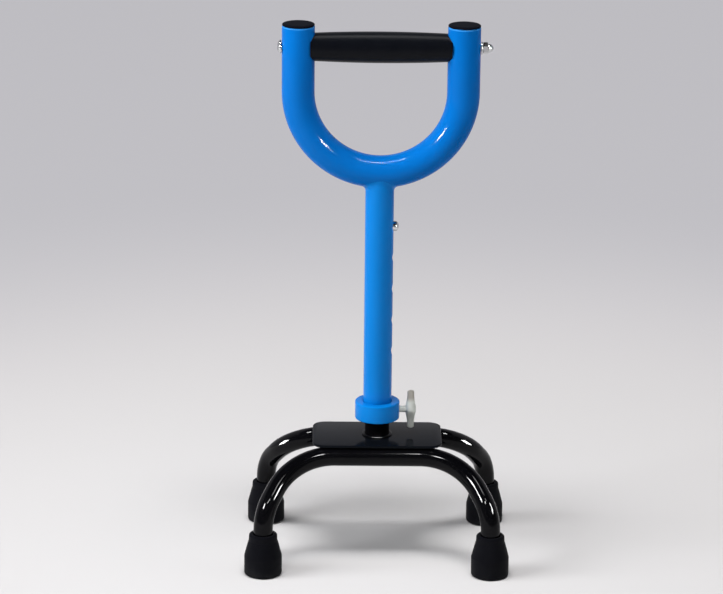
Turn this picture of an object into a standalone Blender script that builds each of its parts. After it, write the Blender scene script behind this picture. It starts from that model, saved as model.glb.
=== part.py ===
"""Low quad cane: a U-shaped fork with a cross grip on a telescoping stem, over a plate and bent leg tubes.

Metres, +Z up. The origin lies on the floor below the post's axis. The snap button and the wing
screw are on the +X side. The front leg tube is on the -Y side. The cane is at its lowest setting.
"""

import math

import bmesh
import bpy
from mathutils import Matrix, Vector

# Clearances, and the chamfer on small turned pieces
SEAT_GAP = 0.0003
SLIDE_GAP = 0.0003
HOLE_GAP = 0.0003
EDGE_BREAK = 0.0005

# Leg tubes, in the order in which a tube bender makes them
LEG_TUBE_DIAMETER = 0.015
LEG_TUBE_WALL = 0.0015
LEG_SPACING = 0.048
LEG_RUN = 0.0654
LEG_SPLAY_TILT = math.radians(44.8)
LEG_SPLAY_ANGLE = math.radians(65)
LEG_SPLAY_RADIUS = 0.050
LEG_LINK = 0.008
LEG_DOWN_RADIUS = 0.030
LEG_DROP = 0.0271

# Ferrules and the steel washers inside them
FERRULE_HEIGHT = 0.033
FERRULE_SKIRT_DIAMETER = 0.029
FERRULE_SKIRT_HEIGHT = 0.0150
FERRULE_TOP_WALL = 0.0030
FERRULE_EDGE_RADIUS = 0.0012
FERRULE_FLOOR = 0.0065
TREAD_CENTRE_RADIUS = 0.0040
TREAD_GROOVE_WIDTH = 0.0020
TREAD_LAND_WIDTH = 0.0025
TREAD_DEPTH = 0.0014
TREAD_GROOVES = 2
FOOT_WASHER_THICKNESS = 0.0012
FOOT_WASHER_HOLE_DIAMETER = 0.0050

# Base plate
PLATE_LENGTH = 0.100
PLATE_WIDTH = 0.057
PLATE_THICKNESS = 0.002
PLATE_CORNER_RADIUS = 0.010
PLATE_EDGE_RADIUS = 0.0005
STITCH_WELD_LENGTH = 0.022
STITCH_WELD_SPACING = 0.042
STITCH_WELD_RADIUS = 0.0024
POST_WELD = 0.0035

# Telescoping tubes and the holes for the snap button
POST_DIAMETER = 0.019
POST_WALL = 0.0015
POST_SHOWING = 0.0137
POST_ABOVE_BUTTON = 0.0135
STEM_LENGTH = 0.198
STEM_WALL = 0.0012
HOLE_COUNT = 5
HOLE_PITCH = 0.025
TOP_HOLE_DROP = 0.043
SADDLE_WELD_RADIUS = 0.0026

# Snap button and its leaf spring
BUTTON_DIAMETER = 0.0078
BUTTON_PROUD = 0.0040
BUTTON_DOME = 0.0024
RIVET_DIAMETER = 0.0030
RIVET_HEAD = 0.0008
LEAF_WIDTH = 0.0070
LEAF_THICKNESS = 0.0007
LEAF_FLAT = 0.0120
LEAF_KNEE_RADIUS = 0.0060
LEAF_FOLD_RADIUS = 0.0022
LEAF_KNEE_ANGLE = math.radians(16)

# Collar, clamp pad and wing screw
COLLAR_WALL = 0.0060
COLLAR_HEIGHT = 0.0140
COLLAR_CHAMFER = 0.0014
SCREW_DIAMETER = 0.0050
SCREW_NECK = 0.0042
SCREW_PIN_DIAMETER = 0.0024
SCREW_PIN_LENGTH = 0.0014
PAD_LENGTH = 0.0030
WING_SPAN = 0.0315
WING_THICKNESS = 0.0024
WING_ROOT_WIDTH = 0.0078
WING_TIP_WIDTH = 0.0052
WING_HUB_LENGTH = 0.0088
WING_HUB_DIAMETER = 0.0084
WING_HUB_END_DIAMETER = 0.0062

# Fork
FORK_TUBE_DIAMETER = 0.025
FORK_TUBE_WALL = 0.002
ARM_SPACING = 0.125
ARM_LENGTH = 0.051
BOLT_BELOW_ARM_END = 0.0165

# End caps
CAP_FLANGE = 0.0015
CAP_PLUG_LENGTH = 0.0090
CAP_PLUG_WALL = 0.0016
CAP_RIB_HEIGHT = 0.0007
CAP_RIBS = 2

# Grip with its bolt, sleeve, washer and nut
GRIP_DIAMETER = 0.0238
GRIP_END_DIAMETER = 0.0212
SLEEVE_WALL = 0.0012
BOLT_DIAMETER = 0.0050
BOLT_HEAD_DIAMETER = 0.0105
BOLT_HEAD_HEIGHT = 0.0033
BOLT_SOCKET_WIDTH = 0.0030
BOLT_SOCKET_DEPTH = 0.0018
BOLT_WASHER_DIAMETER = 0.0100
BOLT_WASHER_THICKNESS = 0.0010
NUT_WIDTH = 0.0080
NUT_HEX_HEIGHT = 0.0040
NUT_HEIGHT = 0.0080
NUT_WALL = 0.0012
NUT_CONE = 0.0012

# Facets
FORK_SIDES = 24
LEG_SIDES = 16
ROUND_SIDES = 24
SMALL_SIDES = 16
FORK_BEND_STEP = math.radians(11.25)
LEG_BEND_STEP = math.radians(11)
LEAF_BEND_STEP = math.radians(24)
SMOOTH_ANGLE = math.radians(35)

# The side view of a weld's flare, as (how far out, how far up) from 0 to 1
WELD_FLARE = ((1, 0), (0.75, 0.5), (0.3, 0.85), (0, 1))

# Heights and radii that follow from the sizes above
LEG_RADIUS = LEG_TUBE_DIAMETER / 2
LEG_END_Z = FERRULE_FLOOR + FOOT_WASHER_THICKNESS + 2 * SEAT_GAP
LEG_LINK_SLOPE = math.sin(LEG_SPLAY_ANGLE) * math.cos(LEG_SPLAY_TILT)
LEG_DOWN_ANGLE = math.acos(LEG_LINK_SLOPE)
LEG_SPLAY_FALL = LEG_SPLAY_RADIUS * (1 - math.cos(LEG_SPLAY_ANGLE)) * math.cos(LEG_SPLAY_TILT)
LEG_DOWN_FALL = LEG_DOWN_RADIUS * math.sin(LEG_DOWN_ANGLE)
LEG_AXIS_Z = LEG_END_Z + LEG_DROP + LEG_DOWN_FALL + LEG_LINK * LEG_LINK_SLOPE + LEG_SPLAY_FALL
PLATE_BOTTOM_Z = LEG_AXIS_Z + LEG_RADIUS + SEAT_GAP
PLATE_TOP_Z = PLATE_BOTTOM_Z + PLATE_THICKNESS
POST_RADIUS = POST_DIAMETER / 2
POST_BORE_RADIUS = POST_RADIUS - POST_WALL
POST_BOTTOM_Z = PLATE_TOP_Z + SEAT_GAP
STEM_BORE_RADIUS = POST_RADIUS + SLIDE_GAP
STEM_RADIUS = STEM_BORE_RADIUS + STEM_WALL
STEM_BOTTOM_Z = PLATE_TOP_Z + POST_SHOWING
FORK_BOTTOM_Z = STEM_BOTTOM_Z + STEM_LENGTH
BUTTON_Z = FORK_BOTTOM_Z - TOP_HOLE_DROP
POST_TOP_Z = BUTTON_Z + POST_ABOVE_BUTTON
BUTTON_HOLE_RADIUS = BUTTON_DIAMETER / 2 + HOLE_GAP
FORK_RADIUS = FORK_TUBE_DIAMETER / 2
FORK_BEND_RADIUS = ARM_SPACING / 2
FORK_BEND_Z = FORK_BOTTOM_Z + FORK_BEND_RADIUS
ARM_TOP_Z = FORK_BEND_Z + ARM_LENGTH
BOLT_Z = ARM_TOP_Z - BOLT_BELOW_ARM_END
BOLT_HOLE_RADIUS = BOLT_DIAMETER / 2 + HOLE_GAP
ARM_OUTSIDE_X = ARM_SPACING / 2 + FORK_RADIUS
ARM_INSIDE_X = ARM_SPACING / 2 - FORK_RADIUS
COLLAR_BORE_RADIUS = STEM_RADIUS + SEAT_GAP
COLLAR_RADIUS = COLLAR_BORE_RADIUS + COLLAR_WALL
SCREW_Z = STEM_BOTTOM_Z + COLLAR_HEIGHT / 2
SCREW_HOLE_RADIUS = SCREW_DIAMETER / 2 + HOLE_GAP
PAD_X = POST_RADIUS + SEAT_GAP

X_AXIS = Vector((1, 0, 0))
Y_AXIS = Vector((0, 1, 0))
Z_AXIS = Vector((0, 0, 1))


def surface(name, colour, roughness, metallic=0.0):
    """A Principled material with the piece's own colour and gloss."""
    material = bpy.data.materials.new(name)
    material.use_nodes = True
    shader = material.node_tree.nodes["Principled BSDF"]
    shader.inputs["Base Color"].default_value = (*colour, 1)
    shader.inputs["Roughness"].default_value = roughness
    shader.inputs["Metallic"].default_value = metallic
    material.diffuse_color = (*colour, 1)
    return material


BLUE_PAINT = ((0.004, 0.165, 0.640), 0.25)
BLACK_PAINT = ((0.006, 0.006, 0.007), 0.12)
SATIN_BLACK_PAINT = ((0.018, 0.019, 0.021), 0.30)
BLACK_PLASTIC = ((0.020, 0.020, 0.022), 0.50)
GRIP_PLASTIC = ((0.010, 0.011, 0.012), 0.42)
RUBBER = ((0.016, 0.017, 0.019), 0.75)
ZINC = ((0.400, 0.420, 0.395), 0.42, 0.9)
STEEL = ((0.560, 0.570, 0.580), 0.22, 1.0)
NYLON = ((0.700, 0.690, 0.640), 0.55)


def circle(radius, sides):
    """The corners of a regular outline round the origin."""
    turns = [2 * math.pi * i / sides for i in range(sides)]
    return [(radius * math.cos(turn), radius * math.sin(turn)) for turn in turns]


def arc(centre, radius, start, end, steps):
    """Points on an arc in a plane, from one angle to the other in degrees."""
    angles = [math.radians(start + (end - start) * i / steps) for i in range(steps + 1)]
    return [(centre[0] + radius * math.cos(a), centre[1] + radius * math.sin(a)) for a in angles]


def dome(radius, low, rise, steps=3):
    """Half the side view of an elliptical dome, from its rim to its top on the axis."""
    turns = [math.pi / 2 * i / steps for i in range(steps)]
    return [(radius * math.cos(t), low + rise * math.sin(t)) for t in turns] + [(0, low + rise)]


def bar_outline(radius, low, high):
    """Half the side view of a plain solid bar."""
    return [(0, low), (radius, low), (radius, high), (0, high)]


def rod_outline(radius, low, high, chamfer):
    """Half the side view of a solid rod with chamfered ends, from its axis back to its axis."""
    return [
        (0, low),
        (radius - chamfer, low),
        (radius, low + chamfer),
        (radius, high - chamfer),
        (radius - chamfer, high),
        (0, high),
    ]


def ring_outline(inner, outer, low, high, chamfer):
    """Half the side view of a ring whose outer corners are chamfered."""
    return [
        (inner, low),
        (outer - chamfer, low),
        (outer, low + chamfer),
        (outer, high - chamfer),
        (outer - chamfer, high),
        (inner, high),
    ]


def revolved(outline, sides=ROUND_SIDES):
    """Turns an outline of (radius, height) points about Z. One that holds the axis starts and ends on it."""
    shape = bmesh.new()
    points = [shape.verts.new((radius, 0, height)) for radius, height in outline]
    edges = [shape.edges.new(pair) for pair in zip(points, points[1:])]
    if outline[0][0] > 0:
        edges.append(shape.edges.new((points[-1], points[0])))
    bmesh.ops.spin(
        shape,
        geom=points + edges,
        axis=Z_AXIS,
        cent=(0, 0, 0),
        angle=2 * math.pi,
        steps=sides,
        use_merge=True,
    )
    bmesh.ops.remove_doubles(shape, verts=shape.verts, dist=1e-6)
    bmesh.ops.recalc_face_normals(shape, faces=shape.faces)
    return shape


def extruded(outline, thickness):
    """A flat outline in the XY plane, thickened evenly to both sides of it."""
    shape = bmesh.new()
    face = shape.faces.new([shape.verts.new((x, y, -thickness / 2)) for x, y in outline])
    raised = bmesh.ops.extrude_face_region(shape, geom=[face])["geom"]
    lifted = [item for item in raised if isinstance(item, bmesh.types.BMVert)]
    bmesh.ops.translate(shape, verts=lifted, vec=(0, 0, thickness))
    bmesh.ops.recalc_face_normals(shape, faces=shape.faces)
    return shape


def bent_path(start, heading, moves, bend_step):
    """The centre line of a tube that is fed straight and bent in turn.

    A move is (length,) for a straight, or (radius, angle, axis) for a bend about an axis, right-handed.
    """
    point = Vector(start)
    heading = Vector(heading)
    points = [point.copy()]
    for move in moves:
        if len(move) == 1:
            point = point + heading * move[0]
            points.append(point)
            continue
        radius, angle, axis = move
        centre = point + axis.cross(heading) * radius
        arm = point - centre
        steps = max(2, round(angle / bend_step))
        for i in range(1, steps + 1):
            points.append(centre + Matrix.Rotation(angle * i / steps, 3, axis) @ arm)
        point = points[-1]
        heading = Matrix.Rotation(angle, 3, axis) @ heading
    return points


def path_frames(path, side):
    """For each point of a path, the two directions across it, carried along without twist."""
    frames = []
    across = Vector(side)
    for i, point in enumerate(path):
        before = path[max(i - 1, 0)]
        after = path[min(i + 1, len(path) - 1)]
        along = (point - before).normalized() + (after - point).normalized()
        along.normalize()
        across = (across - along * across.dot(along)).normalized()
        frames.append((point, across, along.cross(across)))
    return frames


def swept(path, outline, side, bore=None):
    """Sweeps a closed outline along a path. A second outline of as many points leaves an open bore."""
    shape = bmesh.new()

    def rings(points):
        return [
            [shape.verts.new(centre + across * u + up * v) for u, v in points]
            for centre, across, up in path_frames(path, side)
        ]

    def skin(loops):
        for low, high in zip(loops, loops[1:]):
            for i in range(len(low)):
                j = (i + 1) % len(low)
                shape.faces.new((low[i], low[j], high[j], high[i]))

    outer = rings(outline)
    skin(outer)
    if bore is None:
        shape.faces.new(outer[0])
        shape.faces.new(outer[-1])
    else:
        inner = rings(bore)
        skin(inner)
        skin([outer[0], inner[0]])
        skin([outer[-1], inner[-1]])
    bmesh.ops.recalc_face_normals(shape, faces=shape.faces)
    return shape


def piece(name, shape, material, parent=None, location=(0, 0, 0), rotation=(0, 0, 0)):
    """Makes an object of a shape, which may be a mesh that another object already has."""
    if isinstance(shape, bpy.types.Mesh):
        mesh = shape
    else:
        mesh = bpy.data.meshes.new(name)
        shape.to_mesh(mesh)
        shape.free()
        mesh.shade_smooth()
        mesh.set_sharp_from_angle(angle=SMOOTH_ANGLE)
        mesh.materials.append(surface(name, *material))
    obj = bpy.data.objects.new(name, mesh)
    bpy.context.scene.collection.objects.link(obj)
    obj.parent = parent
    obj.location = location
    obj.rotation_euler = rotation
    return obj


def tool(name, shape, parent=None, location=(0, 0, 0), rotation=(0, 0, 0)):
    """A shape that only cuts or joins others, and is no piece of the cane."""
    obj = piece(name, shape, BLACK_PLASTIC, parent, location, rotation)
    obj.hide_render = True
    obj.display_type = "WIRE"
    return obj


def combine(obj, other, operation):
    """Adds a Boolean modifier."""
    modifier = obj.modifiers.new(f"{operation.lower()} {other.name}", "BOOLEAN")
    modifier.operation = operation
    modifier.solver = "EXACT"
    modifier.object = other


def drill(obj, name, radius, start, end, height=0.0, sides=SMALL_SIDES):
    """Cuts a hole along X into an object, between two places on X, at a height on its parent's axis."""
    bar = revolved(bar_outline(radius, start, end), sides)
    combine(obj, tool(name, bar, obj.parent, (0, 0, height), along_x()), "DIFFERENCE")


def rounded(obj, width):
    """Rounds an object's sharp edges."""
    modifier = obj.modifiers.new("edges", "BEVEL")
    modifier.width = width
    modifier.segments = 2
    modifier.limit_method = "ANGLE"
    modifier.angle_limit = math.radians(50)


def axis_point(name, location, parent=None):
    """An empty on the axis of a joint, which carries the pieces that move with it."""
    empty = bpy.data.objects.new(name, None)
    bpy.context.scene.collection.objects.link(empty)
    empty.parent = parent
    empty.location = location
    empty.empty_display_size = 0.02
    return empty


def along_x(towards=1):
    """The rotation that lays a shape's own Z axis along +X or -X."""
    return (0, towards * math.pi / 2, 0)


def leg_path():
    """The centre line of one leg tube, from foot to foot, with its run along X at y = 0.

    Each end is bent outwards and down at once, in a tilted plane, and then down to the upright.
    """
    splay_axis = Vector((0, math.cos(LEG_SPLAY_TILT), math.sin(LEG_SPLAY_TILT)))
    link = Matrix.Rotation(LEG_SPLAY_ANGLE, 3, splay_axis) @ X_AXIS
    down_axis = link.cross(-Z_AXIS).normalized()
    half = [
        (LEG_RUN / 2,),
        (LEG_SPLAY_RADIUS, LEG_SPLAY_ANGLE, splay_axis),
        (LEG_LINK,),
        (LEG_DOWN_RADIUS, LEG_DOWN_ANGLE, down_axis),
        (LEG_DROP,),
    ]
    right = bent_path((0, 0, LEG_AXIS_Z), X_AXIS, half, LEG_BEND_STEP)
    left = [Vector((-point.x, point.y, point.z)) for point in reversed(right[1:])]
    return left + right[1:]


def foot_place():
    """Where the right foot of the rear leg tube stands."""
    foot = leg_path()[-1]
    return foot.x, foot.y + LEG_SPACING / 2


def make_legs(base):
    bore = circle(LEG_RADIUS - LEG_TUBE_WALL, LEG_SIDES)
    tube = swept(leg_path(), circle(LEG_RADIUS, LEG_SIDES), Y_AXIS, bore)
    rear = piece("rear_leg_tube", tube, BLACK_PAINT, base, (0, LEG_SPACING / 2, 0))
    piece("front_leg_tube", rear.data, None, base, (0, -LEG_SPACING / 2, 0), (0, 0, math.pi))


def tread_outline():
    """The underside of a ferrule, from its middle outwards: flat lands with ring grooves between them."""
    points = [(0, 0)]
    for i in range(TREAD_GROOVES):
        inner = TREAD_CENTRE_RADIUS + i * (TREAD_GROOVE_WIDTH + TREAD_LAND_WIDTH)
        outer = inner + TREAD_GROOVE_WIDTH
        points += [(inner, 0), (inner, TREAD_DEPTH), (outer, TREAD_DEPTH), (outer, 0)]
    return points


def ferrule_outline():
    socket = LEG_RADIUS + SEAT_GAP
    top = socket + FERRULE_TOP_WALL
    skirt = FERRULE_SKIRT_DIAMETER / 2
    edge = FERRULE_EDGE_RADIUS
    return (
        tread_outline()
        + arc((skirt - edge, edge), edge, -90, 0, 2)
        + [(skirt, FERRULE_SKIRT_HEIGHT)]
        + arc((top - edge, FERRULE_HEIGHT - edge), edge, 10, 90, 2)
        + [(socket, FERRULE_HEIGHT), (socket, FERRULE_FLOOR), (0, FERRULE_FLOOR)]
    )


def make_feet(base):
    x, y = foot_place()
    washer_z = FERRULE_FLOOR + SEAT_GAP
    disc = ring_outline(FOOT_WASHER_HOLE_DIAMETER / 2, LEG_RADIUS, 0, FOOT_WASHER_THICKNESS, EDGE_BREAK / 2)
    ferrule = None
    washer = None
    for depth, side_y in (("front", -1), ("rear", 1)):
        for side, side_x in (("left", -1), ("right", 1)):
            place = (side_x * x, side_y * y)
            ferrule = piece(
                f"{depth}_{side}_ferrule",
                ferrule.data if ferrule else revolved(ferrule_outline(), 20),
                RUBBER,
                base,
                (*place, 0),
            )
            washer = piece(
                f"{depth}_{side}_foot_washer",
                washer.data if washer else revolved(disc, SMALL_SIDES),
                STEEL,
                base,
                (*place, washer_z),
            )


def make_plate(base):
    corner_x = PLATE_LENGTH / 2 - PLATE_CORNER_RADIUS
    corner_y = PLATE_WIDTH / 2 - PLATE_CORNER_RADIUS
    outline = []
    for start, sx, sy in ((0, 1, 1), (90, -1, 1), (180, -1, -1), (270, 1, -1)):
        outline += arc((sx * corner_x, sy * corner_y), PLATE_CORNER_RADIUS, start, start + 90, 5)
    middle_z = PLATE_BOTTOM_Z + PLATE_THICKNESS / 2
    plate = piece("base_plate", extruded(outline, PLATE_THICKNESS), SATIN_BLACK_PAINT, base, (0, 0, middle_z))
    rounded(plate, PLATE_EDGE_RADIUS)
    # The stitch welds fill the nips between the plate's underside and the tubes' inner sides.
    nip_y = LEG_SPACING / 2 - LEG_RADIUS * math.sin(math.radians(45))
    bead_z = PLATE_BOTTOM_Z - STITCH_WELD_RADIUS / 2
    half = STITCH_WELD_LENGTH / 2
    for i, (sx, sy) in enumerate(((1, 1), (1, -1), (-1, 1), (-1, -1))):
        bead = revolved(rod_outline(STITCH_WELD_RADIUS, -half, half, STITCH_WELD_RADIUS / 3), 10)
        place = (sx * STITCH_WELD_SPACING / 2, sy * nip_y, bead_z)
        combine(plate, tool(f"stitch_weld_{i}", bead, base, place, along_x()), "UNION")
    combine(plate, tool("foot_weld", revolved(foot_weld_outline()), base), "UNION")
    room = swept(leg_path(), circle(LEG_RADIUS + SEAT_GAP, LEG_SIDES), Y_AXIS)
    rear_room = tool("rear_leg_room", room, base, (0, LEG_SPACING / 2, 0))
    front_room = tool("front_leg_room", rear_room.data, base, (0, -LEG_SPACING / 2, 0), (0, 0, math.pi))
    combine(plate, rear_room, "DIFFERENCE")
    combine(plate, front_room, "DIFFERENCE")


def foot_weld_outline():
    """The weld round the post's foot, rooted in the plate: highest where it meets the post."""
    inner = POST_RADIUS + SEAT_GAP
    root = PLATE_TOP_Z - PLATE_THICKNESS / 2
    flare = [(inner + (POST_WELD - SEAT_GAP) * share, rise * POST_WELD) for share, rise in WELD_FLARE]
    return [(inner, root), (flare[0][0], root)] + [(radius, PLATE_TOP_Z + rise) for radius, rise in flare]


def make_post(base):
    outline = ring_outline(POST_BORE_RADIUS, POST_RADIUS, POST_BOTTOM_Z, POST_TOP_Z, EDGE_BREAK / 2)
    post = piece("post_tube", revolved(outline), BLACK_PAINT, base)
    drill(post, "post_drill", BUTTON_HOLE_RADIUS, 0, POST_DIAMETER, BUTTON_Z)


def leaf_face_x():
    """How far out the leaf's outer face lies when the leaf's long edges rest in the post's round bore."""
    return math.sqrt((POST_BORE_RADIUS - SEAT_GAP) ** 2 - (LEAF_WIDTH / 2) ** 2)


def make_button(base):
    axis = axis_point("button_axis", (0, 0, BUTTON_Z), base)
    back = leaf_face_x() + SEAT_GAP
    tip = STEM_RADIUS + BUTTON_PROUD
    radius = BUTTON_DIAMETER / 2
    rivet = RIVET_DIAMETER / 2
    rivet_end = leaf_face_x() - LEAF_THICKNESS - SEAT_GAP
    outline = [
        (0, rivet_end - RIVET_HEAD),
        (rivet + RIVET_HEAD, rivet_end - RIVET_HEAD),
        (rivet + RIVET_HEAD, rivet_end),
        (rivet, rivet_end),
        (rivet, back),
        (radius, back),
    ]
    outline += dome(radius, tip - BUTTON_DOME, BUTTON_DOME)
    piece("snap_button", revolved(outline, SMALL_SIDES), STEEL, axis, rotation=along_x())

    half_width = LEAF_WIDTH / 2
    half_leaf = LEAF_THICKNESS / 2
    outline = [(sx * half_width, sy * half_leaf) for sx, sy in ((-1, -1), (1, -1), (1, 1), (-1, 1))]
    start = (leaf_face_x() - half_leaf, 0, LEAF_FLAT / 2)
    knee = LEAF_KNEE_RADIUS * (1 - math.cos(LEAF_KNEE_ANGLE))
    fold = LEAF_FOLD_RADIUS * math.cos(LEAF_KNEE_ANGLE)
    slope = (start[0] - knee - fold) / math.sin(LEAF_KNEE_ANGLE)
    moves = [
        (LEAF_FLAT,),
        (LEAF_KNEE_RADIUS, LEAF_KNEE_ANGLE, Y_AXIS),
        (slope,),
        (LEAF_FOLD_RADIUS, math.pi - 2 * LEAF_KNEE_ANGLE, Y_AXIS),
        (slope,),
        (LEAF_KNEE_RADIUS, LEAF_KNEE_ANGLE, Y_AXIS),
        (LEAF_FLAT / 2,),
    ]
    path = bent_path(start, -Z_AXIS, moves, LEAF_BEND_STEP)
    leaf = piece("button_spring", swept(path, outline, Y_AXIS), STEEL, axis)
    drill(leaf, "leaf_punch", rivet + HOLE_GAP, 0, POST_DIAMETER)


def fork_path():
    bend = (FORK_BEND_RADIUS, math.pi, -Y_AXIS)
    top = (-ARM_SPACING / 2, 0, ARM_TOP_Z)
    return bent_path(top, -Z_AXIS, [(ARM_LENGTH,), bend, (ARM_LENGTH,)], FORK_BEND_STEP)


def fork_room():
    """A solid a little thicker than the fork tube, which cuts whatever seats against it."""
    return swept(fork_path(), circle(FORK_RADIUS + SEAT_GAP, FORK_SIDES), Y_AXIS)


def saddle_height(x, y):
    """How high above the bend's lowest centre line the fork's underside lies at a point below it."""
    reach = FORK_BEND_RADIUS + math.sqrt(max(FORK_RADIUS**2 - y**2, 0))
    return FORK_BEND_RADIUS - math.sqrt(reach**2 - x**2)


def make_fork(upper):
    bore = circle(FORK_RADIUS - FORK_TUBE_WALL, FORK_SIDES)
    tube = swept(fork_path(), circle(FORK_RADIUS, FORK_SIDES), Y_AXIS, bore)
    fork = piece("fork_tube", tube, BLUE_PAINT, upper)
    drill(fork, "bolt_drill", BOLT_HOLE_RADIUS, -ARM_SPACING, ARM_SPACING, BOLT_Z)


def make_stem(upper, room):
    wall = ring_outline(STEM_BORE_RADIUS, STEM_RADIUS, STEM_BOTTOM_Z, FORK_BOTTOM_Z, EDGE_BREAK / 2)
    stem = piece("stem_tube", revolved(wall, FORK_SIDES), BLUE_PAINT, upper)
    # The bead's root lies inside the tube's wall, so that the union leaves the bore clear.
    root = (STEM_BORE_RADIUS + STEM_RADIUS) / 2
    ring = arc((STEM_RADIUS, FORK_BOTTOM_Z), SADDLE_WELD_RADIUS, -80, 80, 5)
    ring = [(root, ring[0][1])] + ring + [(root, ring[-1][1])]
    bead = revolved(ring, FORK_SIDES)
    bmesh.ops.rotate(bead, verts=bead.verts, matrix=Matrix.Rotation(math.pi / FORK_SIDES, 3, "Z"))
    for corner in bead.verts:
        toward = Vector((corner.co.x, corner.co.y, 0)).normalized() * STEM_RADIUS
        corner.co.z += saddle_height(toward.x, toward.y)
    combine(stem, tool("saddle_weld", bead, upper), "UNION")
    combine(stem, room, "DIFFERENCE")
    for i in range(HOLE_COUNT):
        height = BUTTON_Z - i * HOLE_PITCH
        drill(stem, f"stem_drill_{i}", BUTTON_HOLE_RADIUS, 0, 2 * STEM_RADIUS, height)
    drill(stem, "stem_screw_drill", SCREW_HOLE_RADIUS, 0, 2 * COLLAR_RADIUS, SCREW_Z)


def make_collar(upper):
    top = STEM_BOTTOM_Z + COLLAR_HEIGHT
    outline = ring_outline(COLLAR_BORE_RADIUS, COLLAR_RADIUS, STEM_BOTTOM_Z, top, COLLAR_CHAMFER)
    collar = piece("collar", revolved(outline), BLUE_PAINT, upper)
    drill(collar, "collar_screw_drill", SCREW_HOLE_RADIUS, 0, 2 * COLLAR_RADIUS, SCREW_Z)


def make_end_caps(upper):
    bore = FORK_RADIUS - FORK_TUBE_WALL
    rib = bore - SEAT_GAP
    plug = rib - CAP_RIB_HEIGHT
    inside = plug - CAP_PLUG_WALL
    pitch = CAP_PLUG_LENGTH / CAP_RIBS
    outline = [(0, -CAP_FLANGE), (inside, -CAP_FLANGE), (inside, -CAP_PLUG_LENGTH), (plug, -CAP_PLUG_LENGTH)]
    for i in range(CAP_RIBS):
        low = (i + 0.2) * pitch - CAP_PLUG_LENGTH
        outline += [(plug, low), (rib, low + 0.3 * pitch), (plug, low + 0.6 * pitch)]
    flange = [
        (plug, SEAT_GAP),
        (FORK_RADIUS, SEAT_GAP),
        (FORK_RADIUS, SEAT_GAP + 0.5 * CAP_FLANGE),
        (FORK_RADIUS - 0.5 * CAP_FLANGE, SEAT_GAP + 0.9 * CAP_FLANGE),
        (FORK_RADIUS - 2 * CAP_FLANGE, SEAT_GAP + CAP_FLANGE),
        (0, SEAT_GAP + CAP_FLANGE),
    ]
    place = Vector((ARM_SPACING / 2, 0, ARM_TOP_Z))
    right = piece("right_end_cap", revolved(outline + flange), BLACK_PLASTIC, upper, place)
    piece("left_end_cap", right.data, None, upper, place - ARM_SPACING * X_AXIS)


def make_grip(upper, room):
    sleeve_bore = BOLT_HOLE_RADIUS
    sleeve_radius = sleeve_bore + SLEEVE_WALL
    bore = sleeve_radius + SEAT_GAP
    half = ARM_SPACING / 2
    middle = GRIP_DIAMETER / 2
    crown = middle - GRIP_END_DIAMETER / 2
    steps = 10
    outline = [(bore, -half)]
    for i in range(steps + 1):
        share = 2 * i / steps - 1
        outline.append((middle - crown * share**2, share * half))
    outline.append((bore, half))
    grip = piece("grip", revolved(outline), GRIP_PLASTIC, upper, (0, 0, BOLT_Z), along_x())
    combine(grip, room, "DIFFERENCE")
    reach = ARM_INSIDE_X - SEAT_GAP
    tube = revolved(ring_outline(sleeve_bore, sleeve_radius, -reach, reach, EDGE_BREAK), SMALL_SIDES)
    piece("grip_sleeve", tube, STEEL, upper, (0, 0, BOLT_Z), along_x())


def make_bolt(upper):
    shank = BOLT_DIAMETER / 2
    head = BOLT_HEAD_DIAMETER / 2
    seat = -(ARM_OUTSIDE_X + SEAT_GAP)
    washer_x = ARM_OUTSIDE_X + SEAT_GAP
    nut_x = washer_x + BOLT_WASHER_THICKNESS + SEAT_GAP
    end = nut_x + NUT_HEIGHT - NUT_WALL - NUT_CONE - SEAT_GAP
    outline = dome(head, seat, -BOLT_HEAD_HEIGHT, 4)[::-1] + [
        (shank, seat),
        (shank, end - EDGE_BREAK),
        (shank - EDGE_BREAK, end),
        (0, end),
    ]
    bolt = piece("grip_bolt", revolved(outline, SMALL_SIDES), STEEL, upper, (0, 0, BOLT_Z), along_x())
    socket_floor = seat - BOLT_HEAD_HEIGHT + BOLT_SOCKET_DEPTH
    drill(bolt, "hex_key", BOLT_SOCKET_WIDTH / math.sqrt(3), -ARM_SPACING, socket_floor, BOLT_Z, 6)

    washer_radius = BOLT_WASHER_DIAMETER / 2
    washer = ring_outline(BOLT_HOLE_RADIUS, washer_radius, 0, BOLT_WASHER_THICKNESS, EDGE_BREAK / 2)
    piece("bolt_washer", revolved(washer, SMALL_SIDES), STEEL, upper, (washer_x, 0, BOLT_Z), along_x())

    place = (nut_x, 0, BOLT_Z)
    nut = piece("cap_nut", nut_blank(), STEEL, upper, place, along_x())
    hexagon = revolved(bar_outline(NUT_WIDTH / math.sqrt(3), -NUT_HEIGHT, 2 * NUT_HEIGHT), 6)
    combine(nut, tool("hexagon", hexagon, upper, place, along_x()), "INTERSECT")


def nut_blank():
    """The cap nut as it is turned, before its flats are cut: chamfered skirt, dome and blind hole."""
    corner = NUT_WIDTH / math.sqrt(3)
    flat = NUT_WIDTH / 2
    floor = NUT_HEIGHT - NUT_WALL
    outline = dome(flat - EDGE_BREAK, NUT_HEX_HEIGHT, NUT_HEIGHT - NUT_HEX_HEIGHT, 4)[::-1] + [
        (flat, NUT_HEX_HEIGHT),
        (corner, NUT_HEX_HEIGHT - EDGE_BREAK),
        (corner, EDGE_BREAK),
        (flat, 0),
        (BOLT_HOLE_RADIUS, 0),
        (BOLT_HOLE_RADIUS, floor - NUT_CONE),
        (BOLT_HOLE_RADIUS - NUT_CONE, floor),
        (0, floor),
    ]
    return revolved(outline, SMALL_SIDES)


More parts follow.
